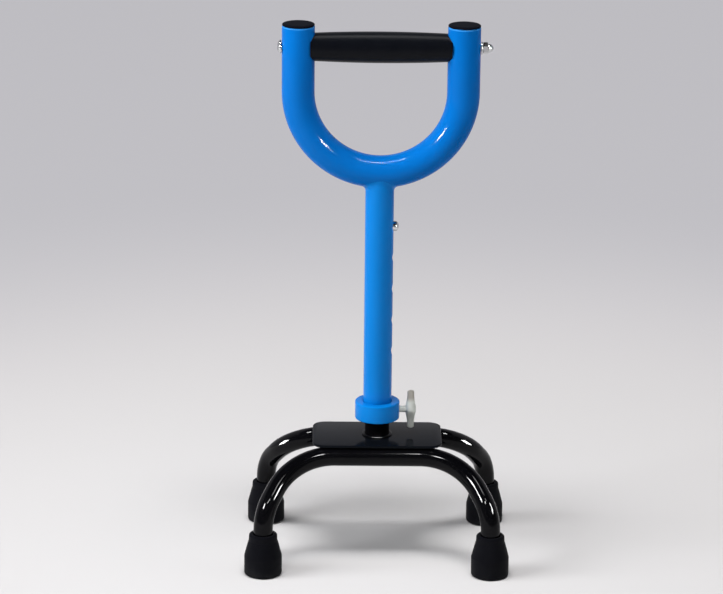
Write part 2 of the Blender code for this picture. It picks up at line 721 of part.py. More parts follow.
def make_clamp(upper):
    axis = axis_point("clamp_axis", (PAD_X, 0, SCREW_Z), upper)
    radius = SCREW_DIAMETER / 2
    pin = SCREW_PIN_DIAMETER / 2
    recess = SCREW_PIN_LENGTH + SEAT_GAP
    pad = [
        (0, 0),
        (radius - EDGE_BREAK, 0),
        (radius, EDGE_BREAK),
        (radius, PAD_LENGTH),
        (pin + HOLE_GAP, PAD_LENGTH),
        (pin + HOLE_GAP, PAD_LENGTH - recess),
        (0, PAD_LENGTH - recess),
    ]
    piece("clamp_pad", revolved(pad, SMALL_SIDES), NYLON, axis, rotation=along_x())

    shoulder = PAD_LENGTH + SEAT_GAP
    hub_start = COLLAR_RADIUS + SCREW_NECK - PAD_X
    hub_end = hub_start + WING_HUB_LENGTH
    hub_middle = (hub_start + hub_end) / 2
    hub = WING_HUB_DIAMETER / 2
    hub_face = WING_HUB_END_DIAMETER / 2
    outline = [
        (0, shoulder - SCREW_PIN_LENGTH),
        (pin, shoulder - SCREW_PIN_LENGTH),
        (pin, shoulder),
        (radius - EDGE_BREAK, shoulder),
        (radius, shoulder + EDGE_BREAK),
        (radius, hub_start),
        (hub_face, hub_start),
        (0.5 * (hub + hub_face), hub_start + 0.18 * WING_HUB_LENGTH),
        (hub, hub_middle),
        (0.5 * (hub + hub_face), hub_end - 0.18 * WING_HUB_LENGTH),
        (hub_face, hub_end),
        (0, hub_end),
    ]
    screw = piece("wing_screw", revolved(outline, SMALL_SIDES), ZINC, axis, rotation=along_x())
    blade = tool("wing_blade", wing_blade(), axis, (hub_middle, 0, 0), (math.pi / 2, 0, 0))
    rounded(blade, WING_THICKNESS / 4)
    combine(screw, blade, "UNION")


def wing_blade():
    """Both wings as one blade: widest across the hub, drawn in to round tips."""
    root = WING_ROOT_WIDTH / 2
    tip = WING_TIP_WIDTH / 2
    reach = WING_SPAN / 2 - tip
    upper_end = arc((0, reach), tip, 0, 180, 6)
    lower_end = arc((0, -reach), tip, 180, 360, 6)
    outline = [(root, 0)] + upper_end + [(-root, 0)] + lower_end
    return extruded(outline, WING_THICKNESS)


def build():
    for obj in list(bpy.data.objects):
        bpy.data.objects.remove(obj, do_unlink=True)
    base = axis_point("base", (0, 0, 0))
    make_legs(base)
    make_feet(base)
    make_plate(base)
    make_post(base)
    make_button(base)
    upper = axis_point("height_slide", (0, 0, 0), base)
    room = tool("fork_room", fork_room(), upper)
    make_fork(upper)
    make_stem(upper, room)
    make_collar(upper)
    make_end_caps(upper)
    make_grip(upper, room)
    make_bolt(upper)
    make_clamp(upper)


build()
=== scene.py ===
"""Dresses the packed frame of a low quad cane with its fine shapes and its finishes, in a plain photo studio.

The file is laid out as an add-on and is run as a script. Metres, +Z up. The camera is on the -Y side,
and the snap button and the wing screw are on the +X side.
"""

import math

import bmesh
import bpy
from bpy.props import FloatProperty, FloatVectorProperty, IntProperty, PointerProperty
from bpy.types import Operator, Panel, PropertyGroup
from mathutils import Matrix, Vector


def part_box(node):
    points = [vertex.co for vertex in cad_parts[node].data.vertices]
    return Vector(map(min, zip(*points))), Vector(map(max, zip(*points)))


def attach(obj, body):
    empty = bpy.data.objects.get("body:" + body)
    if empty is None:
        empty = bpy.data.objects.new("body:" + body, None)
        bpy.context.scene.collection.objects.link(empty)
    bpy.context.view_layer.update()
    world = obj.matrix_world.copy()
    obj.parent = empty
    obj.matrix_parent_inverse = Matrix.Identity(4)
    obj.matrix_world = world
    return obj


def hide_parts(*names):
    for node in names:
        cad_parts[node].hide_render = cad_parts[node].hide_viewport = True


bl_info = {
    "name": "Quad cane",
    "version": (1, 0, 0),
    "blender": (4, 5, 0),
    "location": "View3D > Sidebar > Cane",
    "description": "Makes the fine shapes and the finishes of a low quad cane round its frame",
    "category": "Object",
}

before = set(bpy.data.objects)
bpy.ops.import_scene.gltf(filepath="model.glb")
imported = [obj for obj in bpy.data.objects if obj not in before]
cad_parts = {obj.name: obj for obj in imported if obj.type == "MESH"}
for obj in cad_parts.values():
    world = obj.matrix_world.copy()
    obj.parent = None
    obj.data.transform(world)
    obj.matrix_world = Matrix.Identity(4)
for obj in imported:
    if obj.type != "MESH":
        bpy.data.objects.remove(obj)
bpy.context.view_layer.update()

X_AXIS = Vector((1, 0, 0))
Y_AXIS = Vector((0, 1, 0))
Z_AXIS = Vector((0, 0, 1))
FEET = ("front_left", "front_right", "rear_left", "rear_right")

# Lengths, in metres
SLIDE_GAP = 0.0003
THREAD_GAP = 0.0003
SAWN_EDGE = 0.0003
LEG_RADIUS = 0.0075
DRILL_REACH = 0.03
BORE_OVERRUN = 0.001
MERGE_DISTANCE = 1e-7

# Facets round a turned shape, and the angle from one ring of a bend to the next
LARGE_SIDES = 96
SMALL_SIDES = 64
BOLT_SIDES = 48
BEAD_SIDES = 16
BLADE_SIDES = 32
BEND_STEP = math.radians(3)

# Colours within a finish (the first is a painted highlight for the fork's rounded rim), and how much the zinc
# keeps of its own colour where it is brown
PAINTED_RIM_HIGHLIGHT = (0.06, 0.34, 0.80, 1)
SKIRT_DUST = (0.020, 0.020, 0.020, 1)
FIBRE_GREY = (0.5, 0.5, 0.5, 1)
BROWN_SHARES = (0.61, 0.555, 0.53)

# The point that the lamps face, and the groups of pieces that some of them light
LAMP_AIM = Vector((0, 0, 0.2))
FLOOR_ONLY = "floor_only"
FRONT_GLINTS = "front_leg_tube_glints"
REAR_GLINTS = "rear_leg_tube_glints"


def middle(node):
    """The middle of a CAD node's box."""
    low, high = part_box(node)
    return (low + high) / 2


def across(node):
    """The size of a CAD node's box."""
    low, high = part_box(node)
    return high - low


# Properties


def length(name, description, default):
    """A size in metres."""
    return FloatProperty(
        name=name, description=description, default=default, min=0, unit="LENGTH", precision=5
    )


def count(name, description, default, low, high):
    """A whole number between two limits."""
    return IntProperty(name=name, description=description, default=default, min=low, max=high)


def brightness(name, description, default):
    """How much light a lamp gives."""
    return FloatProperty(name=name, description=description, default=default, min=0)


def angle(name, description, degrees):
    """An angle, given in degrees and kept in radians."""
    return FloatProperty(name=name, description=description, default=math.radians(degrees), subtype="ANGLE")


def swatch(name, description, default):
    """A linear colour."""
    return FloatVectorProperty(
        name=name, description=description, default=default, size=3, min=0, max=1, subtype="COLOR"
    )


class ForkSizes(PropertyGroup):
    """The U-shaped fork and the stem under it."""

    diameter: length("Fork tube diameter", "Outside diameter of the bent fork tube", across("fork_tube").y)
    wall: length("Fork tube wall", "Wall of the fork tube", 0.002)
    sides: count("Sides", "Facets round the fork and the stem", LARGE_SIDES, 24, 192)
    end_radius: length("Tube end radius", "Rounding of the fork tube's cut ends", 0.0010)
    stem_radius: length("Stem radius", "Outside radius of the stem tube", 0.0110)
    stem_wall: length("Stem wall", "Wall of the stem tube", 0.0012)
    hole_count: count("Holes", "Adjustment holes in the stem", 5, 1, 8)
    hole_pitch: length("Hole pitch", "From one adjustment hole to the next", 0.025)
    hole_radius: length("Hole radius", "Radius of the adjustment holes", 0.0042)
    weld_reach: length("Saddle weld reach", "Reach of the fillet between fork and stem", 0.0036)
    weld_ripples: count("Saddle weld ripples", "Ripples in the saddle weld", 40, 8, 90)


class GripSizes(PropertyGroup):
    """The cross grip, what clamps it and the end caps above it."""

    span: length("Grip span", "From tip to tip of the grip, beside the arms", 0.1068)
    diameter: length("Grip diameter", "Diameter at the grip's middle", 0.0238)
    end_diameter: length("Grip end diameter", "Diameter at the grip's ends", 0.0212)
    sleeve_radius: length("Sleeve radius", "Radius of the steel sleeve inside the grip", 0.0040)
    bolt_radius: length("Bolt radius", "Radius of the bolt's shank", 0.0025)
    head_radius: length("Head radius", "Radius of the bolt's head", 0.00525)
    head_height: length("Head height", "Height of the bolt's domed head", 0.0033)
    key_width: length("Key width", "Width across the flats of the hexagon sunk in the bolt's head", 0.0030)
    key_depth: length("Key depth", "Depth of that hexagon from the top of the head", 0.0018)
    nut_width: length("Nut width", "Width of the cap nut across its flats", 0.0080)
    nut_hex_height: length("Nut hexagon height", "Height of the cap nut's hexagon", 0.0040)
    cap_thickness: length("Cap thickness", "Thickness of the end caps' flange", 0.0015)


class BaseSizes(PropertyGroup):
    """The post, the plate, the leg tubes and the ferrules."""

    post_radius: length("Post radius", "Outside radius of the post tube", across("post_tube").x / 2)
    post_wall: length("Post wall", "Wall of the post tube", 0.0015)
    foot_weld: length("Foot weld", "Radius of the bead round the post's foot", 0.0016)
    foot_ripples: count("Foot weld ripples", "Ripples in the foot weld", 34, 8, 90)
    plate_thickness: length("Plate thickness", "Thickness of the plate's sheet", 0.0020)
    plate_corner: length("Plate corner radius", "Radius of the plate's corners", 0.010)
    leg_radius: length("Leg tube radius", "Outside radius of the leg tubes", LEG_RADIUS)
    leg_wall: length("Leg tube wall", "Wall of the leg tubes", 0.0015)
    leg_sides: count("Leg sides", "Facets round each leg tube", SMALL_SIDES, 16, 128)
    leg_spacing: length("Leg spacing", "Between the middle runs of the two leg tubes", 0.048)
    leg_run: length("Leg run", "Length of a leg tube's straight middle run", 0.0654)
    leg_axis: length(
        "Leg axis height", "Height of the middle run's axis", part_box("front_leg_tube")[1].z - LEG_RADIUS
    )
    splay_tilt: angle("Splay tilt", "How far the first bend's plane leans out from the upright", 44.8)
    splay_angle: angle("Splay angle", "Angle of the first bend", 65)
    splay_radius: length("Splay radius", "Centre line radius of the first bend", 0.050)
    leg_link: length("Leg link", "Straight between the two bends", 0.008)
    down_radius: length("Down radius", "Centre line radius of the second bend", 0.030)
    ferrule_skirt: length("Ferrule skirt radius", "Radius of the ferrules' straight skirt", 0.0145)
    ferrule_top: length("Ferrule top radius", "Radius of the ferrules' upper rim", 0.0108)
    ferrule_floor: length("Ferrule floor", "Thickness of rubber under the leg tube", 0.0065)


class HardwareSizes(PropertyGroup):
    """The collar, the wing screw and the snap button."""

    collar_radius: length("Collar radius", "Outside radius of the collar", across("collar").x / 2)
    collar_chamfer: length("Collar chamfer", "Chamfer on the collar's edges", 0.0007)
    screw_radius: length("Screw radius", "Radius of the wing screw's shank", 0.0025)
    wing_span: length("Wing span", "From one wing's tip to the other", across("wing_screw").z)
    wing_thickness: length("Wing thickness", "Thickness of the wings", 0.0026)
    wing_root: length("Wing root width", "Width of the wings at the hub", 0.0084)
    wing_tip: length("Wing tip width", "Width of the wings near their tips", 0.0053)
    hub_radius: length("Hub radius", "Radius of the wing screw's hub", 0.0042)
    button_radius: length("Button radius", "Radius of the snap button", 0.0039)


class Finishes(PropertyGroup):
    """The colours of the finishes."""

    blue: swatch("Blue enamel", "Paint on the fork", (0.001, 0.130, 0.468))
    # Painted light: the stem and the collar wear the fork's enamel, painted paler to stand in for the extra
    # light they get from the floor
    stem_blue: swatch("Stem enamel", "Paler paint on the stem and the collar", (0.001, 0.176, 0.560))
    black: swatch("Black enamel", "Paint on the leg tubes and the post", (0.0015, 0.0015, 0.0022))
    plate: swatch("Plate enamel", "Paint on the base plate", (0.0025, 0.0035, 0.0055))
    cap: swatch("Cap plastic", "Plastic of the end caps", (0.0035, 0.0042, 0.0075))
    grip: swatch("Grip plastic", "Plastic of the grip", (0.0022, 0.0028, 0.0048))
    rubber: swatch("Rubber", "Rubber of the ferrules", (0.0030, 0.0032, 0.0048))
    zinc: swatch("Zinc", "Die-cast metal of the wing screw", (0.75, 0.78, 0.725))
    bright: swatch("Bright steel", "Plated steel of the bolt, nut and button", (0.62, 0.63, 0.64))
    steel: swatch("Plain steel", "Steel of the inner pieces", (0.42, 0.42, 0.42))
    nylon: swatch("Nylon", "Plastic of the clamp pad", (0.70, 0.69, 0.64))


class StudioSettings(PropertyGroup):
    """The camera, the backdrop and the lamps."""

    distance: length("Distance", "From the camera to the point it looks at", 2.775)
    aim_height: length("Aim height", "Height of the point that the camera looks at", 0.2053)
    aim_left: length("Aim left", "How far left of the stem the camera looks", 0.01308)
    elevation: angle("Elevation", "How steeply the camera looks down", 17.5)
    swing: angle("Swing", "How far the camera stands to the left of the front", 0.45)
    roll: angle("Roll", "How far the camera leans", 0.57)
    lens: FloatProperty(
        name="Lens", description="Focal length on a 36 mm sensor", default=179.65, min=1, unit="CAMERA"
    )
    near_floor: swatch("Near floor", "Colour of the floor round the cane", (0.474, 0.472, 0.480))
    lit_floor: swatch("Lit floor", "Colour shown close to the cane", (0.83, 0.80, 0.80))
    far_floor: swatch("Far floor", "Colour shown far behind the cane", (0.535, 0.527, 0.558))
    fill: brightness("Fill light", "Strength of the faint light from all round", 0.05)
    fill_tint: swatch("Fill tint", "Colour of the faint light from all round", (0.9, 0.95, 1.0))
    overhead: brightness("Overhead lamp", "Power of the long lamp overhead", 22)
    floor_lamp: brightness("Floor lamp", "Power of the lamp that lights only the floor", 26)
    floor_tint: swatch("Floor lamp's tint", "Colour of that lamp's light", (1.0, 0.96, 0.93))
    left_soft: brightness("Left lamp", "Power of the broad lamp at the left", 88)
    right_soft: brightness("Right lamp", "Power of the broad lamp at the right", 8)
    front_soft: brightness("Front lamp", "Power of the small lamp in front", 3.2)
    glint: brightness("Glints", "Brightness of the lamps that only gloss shows", 170)


# Node trees


class Link:
    """A node's output socket. Arithmetic on it adds Math nodes."""

    def __init__(self, graph, socket):
        self.graph = graph
        self.socket = socket

    def math(self, operation, *others):
        return self.graph.math(operation, self, *others)

    def __add__(self, other):
        return self.graph.math("ADD", self, other)

    def __radd__(self, other):
        return self.graph.math("ADD", other, self)

    def __sub__(self, other):
        return self.graph.math("SUBTRACT", self, other)

    def __rsub__(self, other):
        return self.graph.math("SUBTRACT", other, self)

    def __mul__(self, other):
        return self.graph.math("MULTIPLY", self, other)

    def __rmul__(self, other):
        return self.graph.math("MULTIPLY", other, self)


class Graph:
    """Builds a tree of shader or geometry nodes."""

    def __init__(self, tree):
        self.tree = tree

    def add(self, kind, settings=None, values=None, output=0):
        """Adds a node: first its settings, then the values or links of its sockets. Returns one output."""
        node = self.tree.nodes.new(kind)
        for name, value in (settings or {}).items():
            setattr(node, name, value)
        for key, value in (values or {}).items():
            for item in value if isinstance(value, list) else [value]:
                if isinstance(item, Link):
                    self.tree.links.new(item.socket, node.inputs[key])
                else:
                    node.inputs[key].default_value = item
        return Link(self, node.outputs[output]) if node.outputs else None

    def math(self, operation, *values):
        return self.add("ShaderNodeMath", {"operation": operation}, dict(enumerate(values)))

    def vector_math(self, operation, values, output=0):
        return self.add("ShaderNodeVectorMath", {"operation": operation}, values, output)

    def mix(self, factor, first, second):
        """A colour between two others."""
        return self.add("ShaderNodeMix", {"data_type": "RGBA"}, {0: factor, 6: first, 7: second}, 2)

    def ramp(self, value, low, high):
        """0 up to low, 1 from high on, and smooth between them."""
        settings = {"interpolation_type": "SMOOTHSTEP"}
        return self.add("ShaderNodeMapRange", settings, {0: value, 1: low, 2: high})

    def noise(self, scale, detail, where=None):
        """Noise from 0 to 1 at so many features a metre, on the object's own coordinates."""
        return self.add(
            "ShaderNodeTexNoise", None, {"Vector": where or self.place(), "Scale": scale, "Detail": detail}
        )

    def place(self):
        return self.add("ShaderNodeTexCoord", output=3)

    def coordinate(self, axis):
        """One of the object's own coordinates."""
        return self.add("ShaderNodeSeparateXYZ", None, {0: self.place()}, "XYZ".index(axis))

    def ray(self, kind):
        """1 for the rays of a kind, else 0."""
        return self.add("ShaderNodeLightPath", output=f"Is {kind} Ray")

    def sweep(self, line, radius, sides, scale):
        """A round bar along a curve."""
        ring = self.add(
            "GeometryNodeCurvePrimitiveCircle", {"mode": "RADIUS"}, {"Resolution": sides, "Radius": radius}
        )
        values = {"Curve": line, "Profile Curve": ring, "Scale": scale, "Fill Caps": True}
        return self.add("GeometryNodeCurveToMesh", None, values)

    def less(self, mesh, cutter):
        """A mesh with a cutter taken out of it."""
        return self.add(
            "GeometryNodeMeshBoolean",
            {"operation": "DIFFERENCE", "solver": "EXACT"},
            {"Mesh 1": mesh, "Mesh 2": cutter},
        )


def geometry_tree(name, inputs):
    """An empty Geometry Nodes tree with its inputs, which are (name, kind, default), and a material."""
    tree = bpy.data.node_groups.new(name, "GeometryNodeTree")
    tree.interface.new_socket("Geometry", in_out="INPUT", socket_type="NodeSocketGeometry")
    for label, kind, default in (*inputs, ("Material", "Material", None)):
        socket = tree.interface.new_socket(label, in_out="INPUT", socket_type=f"NodeSocket{kind}")
        if default is not None:
            socket.default_value = default
    tree.interface.new_socket("Geometry", in_out="OUTPUT", socket_type="NodeSocketGeometry")
    graph = Graph(tree)
    start = graph.add("NodeGroupInput").socket.node
    return graph, {socket.name: Link(graph, socket) for socket in start.outputs if socket.name}


def close_tree(graph, result, material):
    """Ends a tree with plain, smooth geometry that has its material."""
    result = graph.add("GeometryNodeRealizeInstances", None, {0: result})
    result = graph.add("GeometryNodeSetMaterial", None, {"Geometry": result, "Material": material})
    graph.add("NodeGroupOutput", None, {0: result})
    return graph.tree


def bent_tube_tree():
    """Sweeps a round tube along the object's line of edges. The line's girth attribute scales its outside."""
    graph, given = geometry_tree(
        "Bent tube", [("Radius", "Float", 0.01), ("Wall", "Float", 0.0015), ("Sides", "Int", SMALL_SIDES)]
    )
    line = graph.add("GeometryNodeMeshToCurve", None, {"Mesh": given["Geometry"]})
    girth = graph.add("GeometryNodeInputNamedAttribute", {"data_type": "FLOAT"}, {"Name": "girth"})
    first = graph.add("GeometryNodeCurveEndpointSelection", None, {"Start Size": 1, "End Size": 0})
    last = graph.add("GeometryNodeCurveEndpointSelection", None, {"Start Size": 0, "End Size": 1})
    overrun = (last - first) * BORE_OVERRUN
    tangent = graph.add("GeometryNodeInputTangent")
    stretch = graph.vector_math("SCALE", {0: tangent, "Scale": overrun})
    longer = graph.add("GeometryNodeSetPosition", None, {"Geometry": line, "Offset": stretch})
    outside = graph.sweep(line, given["Radius"], given["Sides"], girth)
    bore = graph.sweep(longer, given["Radius"] - given["Wall"], given["Sides"], 1.0)
    tube = graph.less(outside, bore)
    hollow = graph.math("GREATER_THAN", given["Wall"], 0.0)
    result = graph.add(
        "GeometryNodeSwitch", {"input_type": "GEOMETRY"}, {"Switch": hollow, "False": outside, "True": tube}
    )
    return close_tree(graph, result, given["Material"])


def hole_row_tree():
    """Drills a row of like holes down the +X side of a tube."""
    graph, given = geometry_tree(
        "Row of holes",
        [
            ("Top Hole", "Vector", (0, 0, 0)),
            ("Count", "Int", 5),
            ("Pitch", "Float", 0.025),
            ("Radius", "Float", 0.0042),
            ("Depth", "Float", 0.010),
        ],
    )
    values = {"Vertices": BOLT_SIDES, "Radius": given["Radius"], "Depth": given["Depth"]}
    cutter = graph.add("GeometryNodeMeshCylinder", None, values)
    cutter = graph.add("GeometryNodeTransform", None, {"Geometry": cutter, "Rotation": (0, math.pi / 2, 0)})
    step = graph.add("ShaderNodeCombineXYZ", None, {2: 0 - given["Pitch"]})
    row = graph.add(
        "GeometryNodeMeshLine",
        {"mode": "OFFSET"},
        {"Count": given["Count"], "Start Location": given["Top Hole"], "Offset": step},
    )
    cutters = graph.add("GeometryNodeInstanceOnPoints", None, {"Points": row, "Instance": cutter})
    cutters = graph.add("GeometryNodeRealizeInstances", None, {0: cutters})
    return close_tree(graph, graph.less(given["Geometry"], cutters), given["Material"])


def weld_bead_tree():
    """Lays a rippled bead along the object's line of edges."""
    graph, given = geometry_tree(
        "Weld bead", [("Radius", "Float", 0.0025), ("Ripples", "Int", 40), ("Ripple Depth", "Float", 0.08)]
    )
    rings_per_ripple = 8
    rings = given["Ripples"] * rings_per_ripple
    line = graph.add("GeometryNodeMeshToCurve", None, {"Mesh": given["Geometry"]})
    line = graph.add("GeometryNodeResampleCurve", {"mode": "COUNT"}, {"Curve": line, "Count": rings})
    along = graph.add("GeometryNodeSplineParameter")
    wave = (along * given["Ripples"] * math.pi).math("SINE").math("ABSOLUTE")
    swell = 1 - given["Ripple Depth"] * (1 - wave)
    return close_tree(graph, graph.sweep(line, given["Radius"], BEAD_SIDES, swell), given["Material"])


# Shapes


def arc(centre, radius, start, end, steps):
    """Points on an arc in a plane, from one angle to the other in degrees."""
    turns = [math.radians(start + (end - start) * i / steps) for i in range(steps + 1)]
    return [(centre[0] + radius * math.cos(turn), centre[1] + radius * math.sin(turn)) for turn in turns]


def filleted(corners, steps=4):
    """Rounds the corners of an outline. A corner is (x, y) or, where it is rounded, (x, y, radius)."""
    points = []
    for i, corner in enumerate(corners):
        here = Vector(corner[:2])
        if len(corner) == 2:
            points.append(tuple(here))
            continue
        before = (Vector(corners[i - 1][:2]) - here).normalized()
        after = (Vector(corners[(i + 1) % len(corners)][:2]) - here).normalized()
        half = before.angle(after) / 2
        centre = here + (before + after).normalized() * corner[2] / math.sin(half)
        start = here + before * corner[2] / math.tan(half) - centre
        end = here + after * corner[2] / math.tan(half) - centre
        for step in range(steps + 1):
            points.append(tuple(centre + start.lerp(end, step / steps).normalized() * corner[2]))
    return points


def dome(radius, low, rise, steps=12):
    """Half the side view of an elliptical dome, from its rim to its top on the axis."""
    turns = [math.pi / 2 * i / steps for i in range(steps)]
    return [(radius * math.cos(t), low + rise * math.sin(t)) for t in turns] + [(0, low + rise)]


def turned(outline, sides):
    """Turns an outline of (radius, height) points about Z. One that holds the axis starts and ends on it."""
    shape = bmesh.new()
    points = [shape.verts.new((radius, 0, height)) for radius, height in outline]
    edges = [shape.edges.new(pair) for pair in zip(points, points[1:])]
    if outline[0][0] > 0:
        edges.append(shape.edges.new((points[-1], points[0])))
    whole, centre = 2 * math.pi, (0, 0, 0)
    bmesh.ops.spin(
        shape, geom=points + edges, axis=Z_AXIS, cent=centre, angle=whole, steps=sides, use_merge=True
    )
    bmesh.ops.remove_doubles(shape, verts=shape.verts, dist=MERGE_DISTANCE)
    bmesh.ops.recalc_face_normals(shape, faces=shape.faces)
    return shape


def extruded(outline, low, high):
    """A flat outline in the XY plane, raised from one height to another."""
    shape = bmesh.new()
    face = shape.faces.new([shape.verts.new((x, y, low)) for x, y in outline])
    raised = bmesh.ops.extrude_face_region(shape, geom=[face])["geom"]
    lifted = [item for item in raised if isinstance(item, bmesh.types.BMVert)]
    bmesh.ops.translate(shape, verts=lifted, vec=(0, 0, high - low))
    bmesh.ops.recalc_face_normals(shape, faces=shape.faces)
    return shape


def bent_line(start, heading, moves):
    """The centre line of a tube. A move is (length,) or, for a bend about an axis, (radius, angle, axis)."""
    point = Vector(start)
    heading = Vector(heading)
    points = [point.copy()]
    for move in moves:
        if len(move) == 1:
            point = point + heading * move[0]
            points.append(point)
            continue
        radius, turn, axis = move
        centre = point + axis.cross(heading) * radius
        arm = point - centre
        steps = math.ceil(turn / BEND_STEP)
        for i in range(1, steps + 1):
            points.append(centre + Matrix.Rotation(turn * i / steps, 3, axis) @ arm)
        point = points[-1]
        heading = Matrix.Rotation(turn, 3, axis) @ heading
    return points


def with_round_ends(points, radius, rounding, both=True):
    """Adds points near a line's ends, and the girth there that rounds the edges of a tube of that radius."""
    rings = 4
    turns = [math.pi / 2 * i / rings for i in range(rings + 1)]

    def run_in(end, towards):
        along = (towards - end).normalized() * rounding
        return [
            (end + along * (1 - math.cos(turn)), (radius - rounding * (1 - math.sin(turn))) / radius)
            for turn in turns
        ]

    body = [(point, 1.0) for point in points[1:-1]]
    last = run_in(points[-1], points[-2])[::-1] if both else [(points[-1], 1.0)]
    return run_in(points[0], points[1]) + body + last


def line_shape(stations, closed=False):
    """A mesh of edges through points, each with its girth."""
    shape = bmesh.new()
    girth = shape.verts.layers.float.new("girth")
    corners = []
    for point, size in stations:
        corner = shape.verts.new(point)
        corner[girth] = size
        corners.append(corner)
    for pair in zip(corners, corners[1:]):
        shape.edges.new(pair)
    if closed:
        shape.edges.new((corners[-1], corners[0]))
    return shape


def new_object(name, shape, matrix=None):
    """Makes an object of a shape, with its place in its mesh."""
    if matrix is not None:
        shape.transform(matrix)
    mesh = bpy.data.meshes.new(name)
    shape.to_mesh(mesh)
    shape.free()
    obj = bpy.data.objects.new(name, mesh)
    bpy.context.scene.collection.objects.link(obj)
    return obj


def add_tree(obj, tree, **values):
    """Adds a Geometry Nodes modifier, and sets its inputs by their identifiers."""
    modifier = obj.modifiers.new(tree.name, "NODES")
    modifier.node_group = tree
    for item in tree.interface.items_tree:
        key = item.name.replace(" ", "_").lower()
        if item.in_out == "INPUT" and values.get(key) is not None:
            modifier[item.identifier] = values[key]


def cut(obj, cutter, operation="DIFFERENCE"):
    """Adds a Boolean modifier. The cutter is removed when the object is settled."""
    modifier = obj.modifiers.new("cut", "BOOLEAN")
    modifier.operation = operation
    modifier.solver = "EXACT"
    modifier.object = cutter
    cutter.hide_render = True


def soften(obj, width, segments, limit):
    """Rounds an object's sharp edges."""
    modifier = obj.modifiers.new("soften", "BEVEL")
    modifier.width = width
    modifier.segments = segments
    modifier.limit_method = "ANGLE"
    modifier.angle_limit = math.radians(limit)
    modifier.miter_outer = "MITER_ARC"


def settle(obj, sharp=40):
    """Turns an object's modifiers into its plain mesh, shaded smooth between its sharp edges."""
    cutters = [modifier.object for modifier in obj.modifiers if modifier.type == "BOOLEAN"]
    evaluated = obj.evaluated_get(bpy.context.evaluated_depsgraph_get())
    mesh = bpy.data.meshes.new_from_object(evaluated)
    obj.modifiers.clear()
    obj.data = mesh
    for cutter in cutters:
        bpy.data.objects.remove(cutter, do_unlink=True)
    shape = bmesh.new()
    shape.from_mesh(mesh)
    bmesh.ops.remove_doubles(shape, verts=shape.verts, dist=MERGE_DISTANCE)
    bmesh.ops.recalc_face_normals(shape, faces=shape.faces)
    shape.to_mesh(mesh)
    shape.free()
    mesh.shade_smooth()
    mesh.set_sharp_from_angle(angle=math.radians(sharp))
    return obj


def place_piece(obj, body, finish, slot, *replaced):
    """Gives a piece its finish, the body that it rides on and the CAD nodes that it stands for."""
    obj.data.materials.clear()
    obj.data.materials.append(finish)
    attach(obj, body)
    if replaced:
        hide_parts(*replaced)


def lamp_group(name, *pieces):
    """The collection of the pieces that some of the lamps are linked to, with these pieces added."""
    group = bpy.data.collections.get(name) or bpy.data.collections.new(name)
    for piece in pieces:
        group.objects.link(piece)
    return group


def along_x(z):
    """The place of a turned piece whose axis is laid along X, at a height."""
    return Matrix.Translation((0, 0, z)) @ Matrix.Rotation(math.pi / 2, 4, "Y")


def drill(radius, start, end, z, sides=BOLT_SIDES):
    """A round cutter along X at a height, or a six-sided one."""
    outline = [(0, start), (radius, start), (radius, end), (0, end)]
    return new_object("drill", turned(outline, sides), along_x(z))


def screw_drill(scene):
    """A cutter for the wing screw's hole in the stem and the collar."""
    return drill(scene.cane_hardware.screw_radius + THREAD_GAP, 0, DRILL_REACH, middle("wing_screw").z)


def tube_along(name, stations, radius, wall, sides, finish):
    """A tube along a line of points, each with its girth. With no wall it is solid."""
    tube = new_object(name, line_shape(stations))
    add_tree(tube, shared_tree("Bent tube"), radius=radius, wall=wall, sides=sides, material=finish)
    return tube


def fork_room(scene):
    """A cutter as thick as the fork tube and its gap."""
    fork = scene.cane_fork
    line = [(point, 1.0) for point in fork_line(scene)]
    return settle(tube_along("fork_room", line, fork.diameter / 2 + SLIDE_GAP, 0.0, fork.sides, None))


def bead_along(name, stations, radius, ripples, depth, finish, closed=False):
    """A rippled weld bead along a line of points."""
    bead = new_object(name, line_shape(stations, closed))
    tree = shared_tree("Weld bead")
    add_tree(bead, tree, radius=radius, ripples=ripples, ripple_depth=depth, material=finish)
    return settle(bead)


def shared_tree(name):
    """A tree that several pieces use, built once."""
    makers = {"Bent tube": bent_tube_tree, "Row of holes": hole_row_tree, "Weld bead": weld_bead_tree}
    return bpy.data.node_groups.get(name) or makers[name]()


def plate_top():
    """The height of the plate's upper face, just under the post."""
    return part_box("post_tube")[0].z - SLIDE_GAP


def fork_line(scene):
    """The centre line of the fork tube, from arm to arm."""
    fork = scene.cane_fork
    half = (across("fork_tube").x - fork.diameter) / 2
    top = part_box("fork_tube")[1].z
    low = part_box("fork_tube")[0].z + fork.diameter / 2
    arm = top - low - half
    bend = (half, math.pi, -Y_AXIS)
    return bent_line((-half, 0, top), -Z_AXIS, [(arm,), bend, (arm,)])


def leg_line(scene):
    """The centre line of a leg tube, from foot to foot, with its middle run along X at y = 0."""
    base = scene.cane_base
    splay_axis = Vector((0, math.cos(base.splay_tilt), math.sin(base.splay_tilt)))
    link = Matrix.Rotation(base.splay_angle, 3, splay_axis) @ X_AXIS
    down_axis = link.cross(-Z_AXIS).normalized()
    half = [
        (base.leg_run / 2,),
        (base.splay_radius, base.splay_angle, splay_axis),
        (base.leg_link,),
        (base.down_radius, link.angle(-Z_AXIS), down_axis),
    ]
    right = bent_line((0, 0, base.leg_axis), X_AXIS, half)
    end_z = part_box("front_leg_tube")[0].z
    right.append(Vector((right[-1].x, right[-1].y, end_z)))
    left = [Vector((-point.x, point.y, point.z)) for point in reversed(right[1:])]
    return left + right


# Finishes


def made_once(build):
    """Lets a function that gives a surface make the material of a name, unless it is there already."""

    def make(name, *values, **settings):
        material = bpy.data.materials.get(name)
        if not material:
            material = bpy.data.materials.new(name)
            material.use_nodes = True
            material.node_tree.nodes.clear()
            graph = Graph(material.node_tree)
            surface = build(graph, *values, **settings)
            graph.add("ShaderNodeOutputMaterial", None, {"Surface": surface})
        return material

    return make


def bump(graph, height, depth):
    """A bump of so many metres of depth."""
    return graph.add("ShaderNodeBump", None, {"Distance": depth, "Height": height})


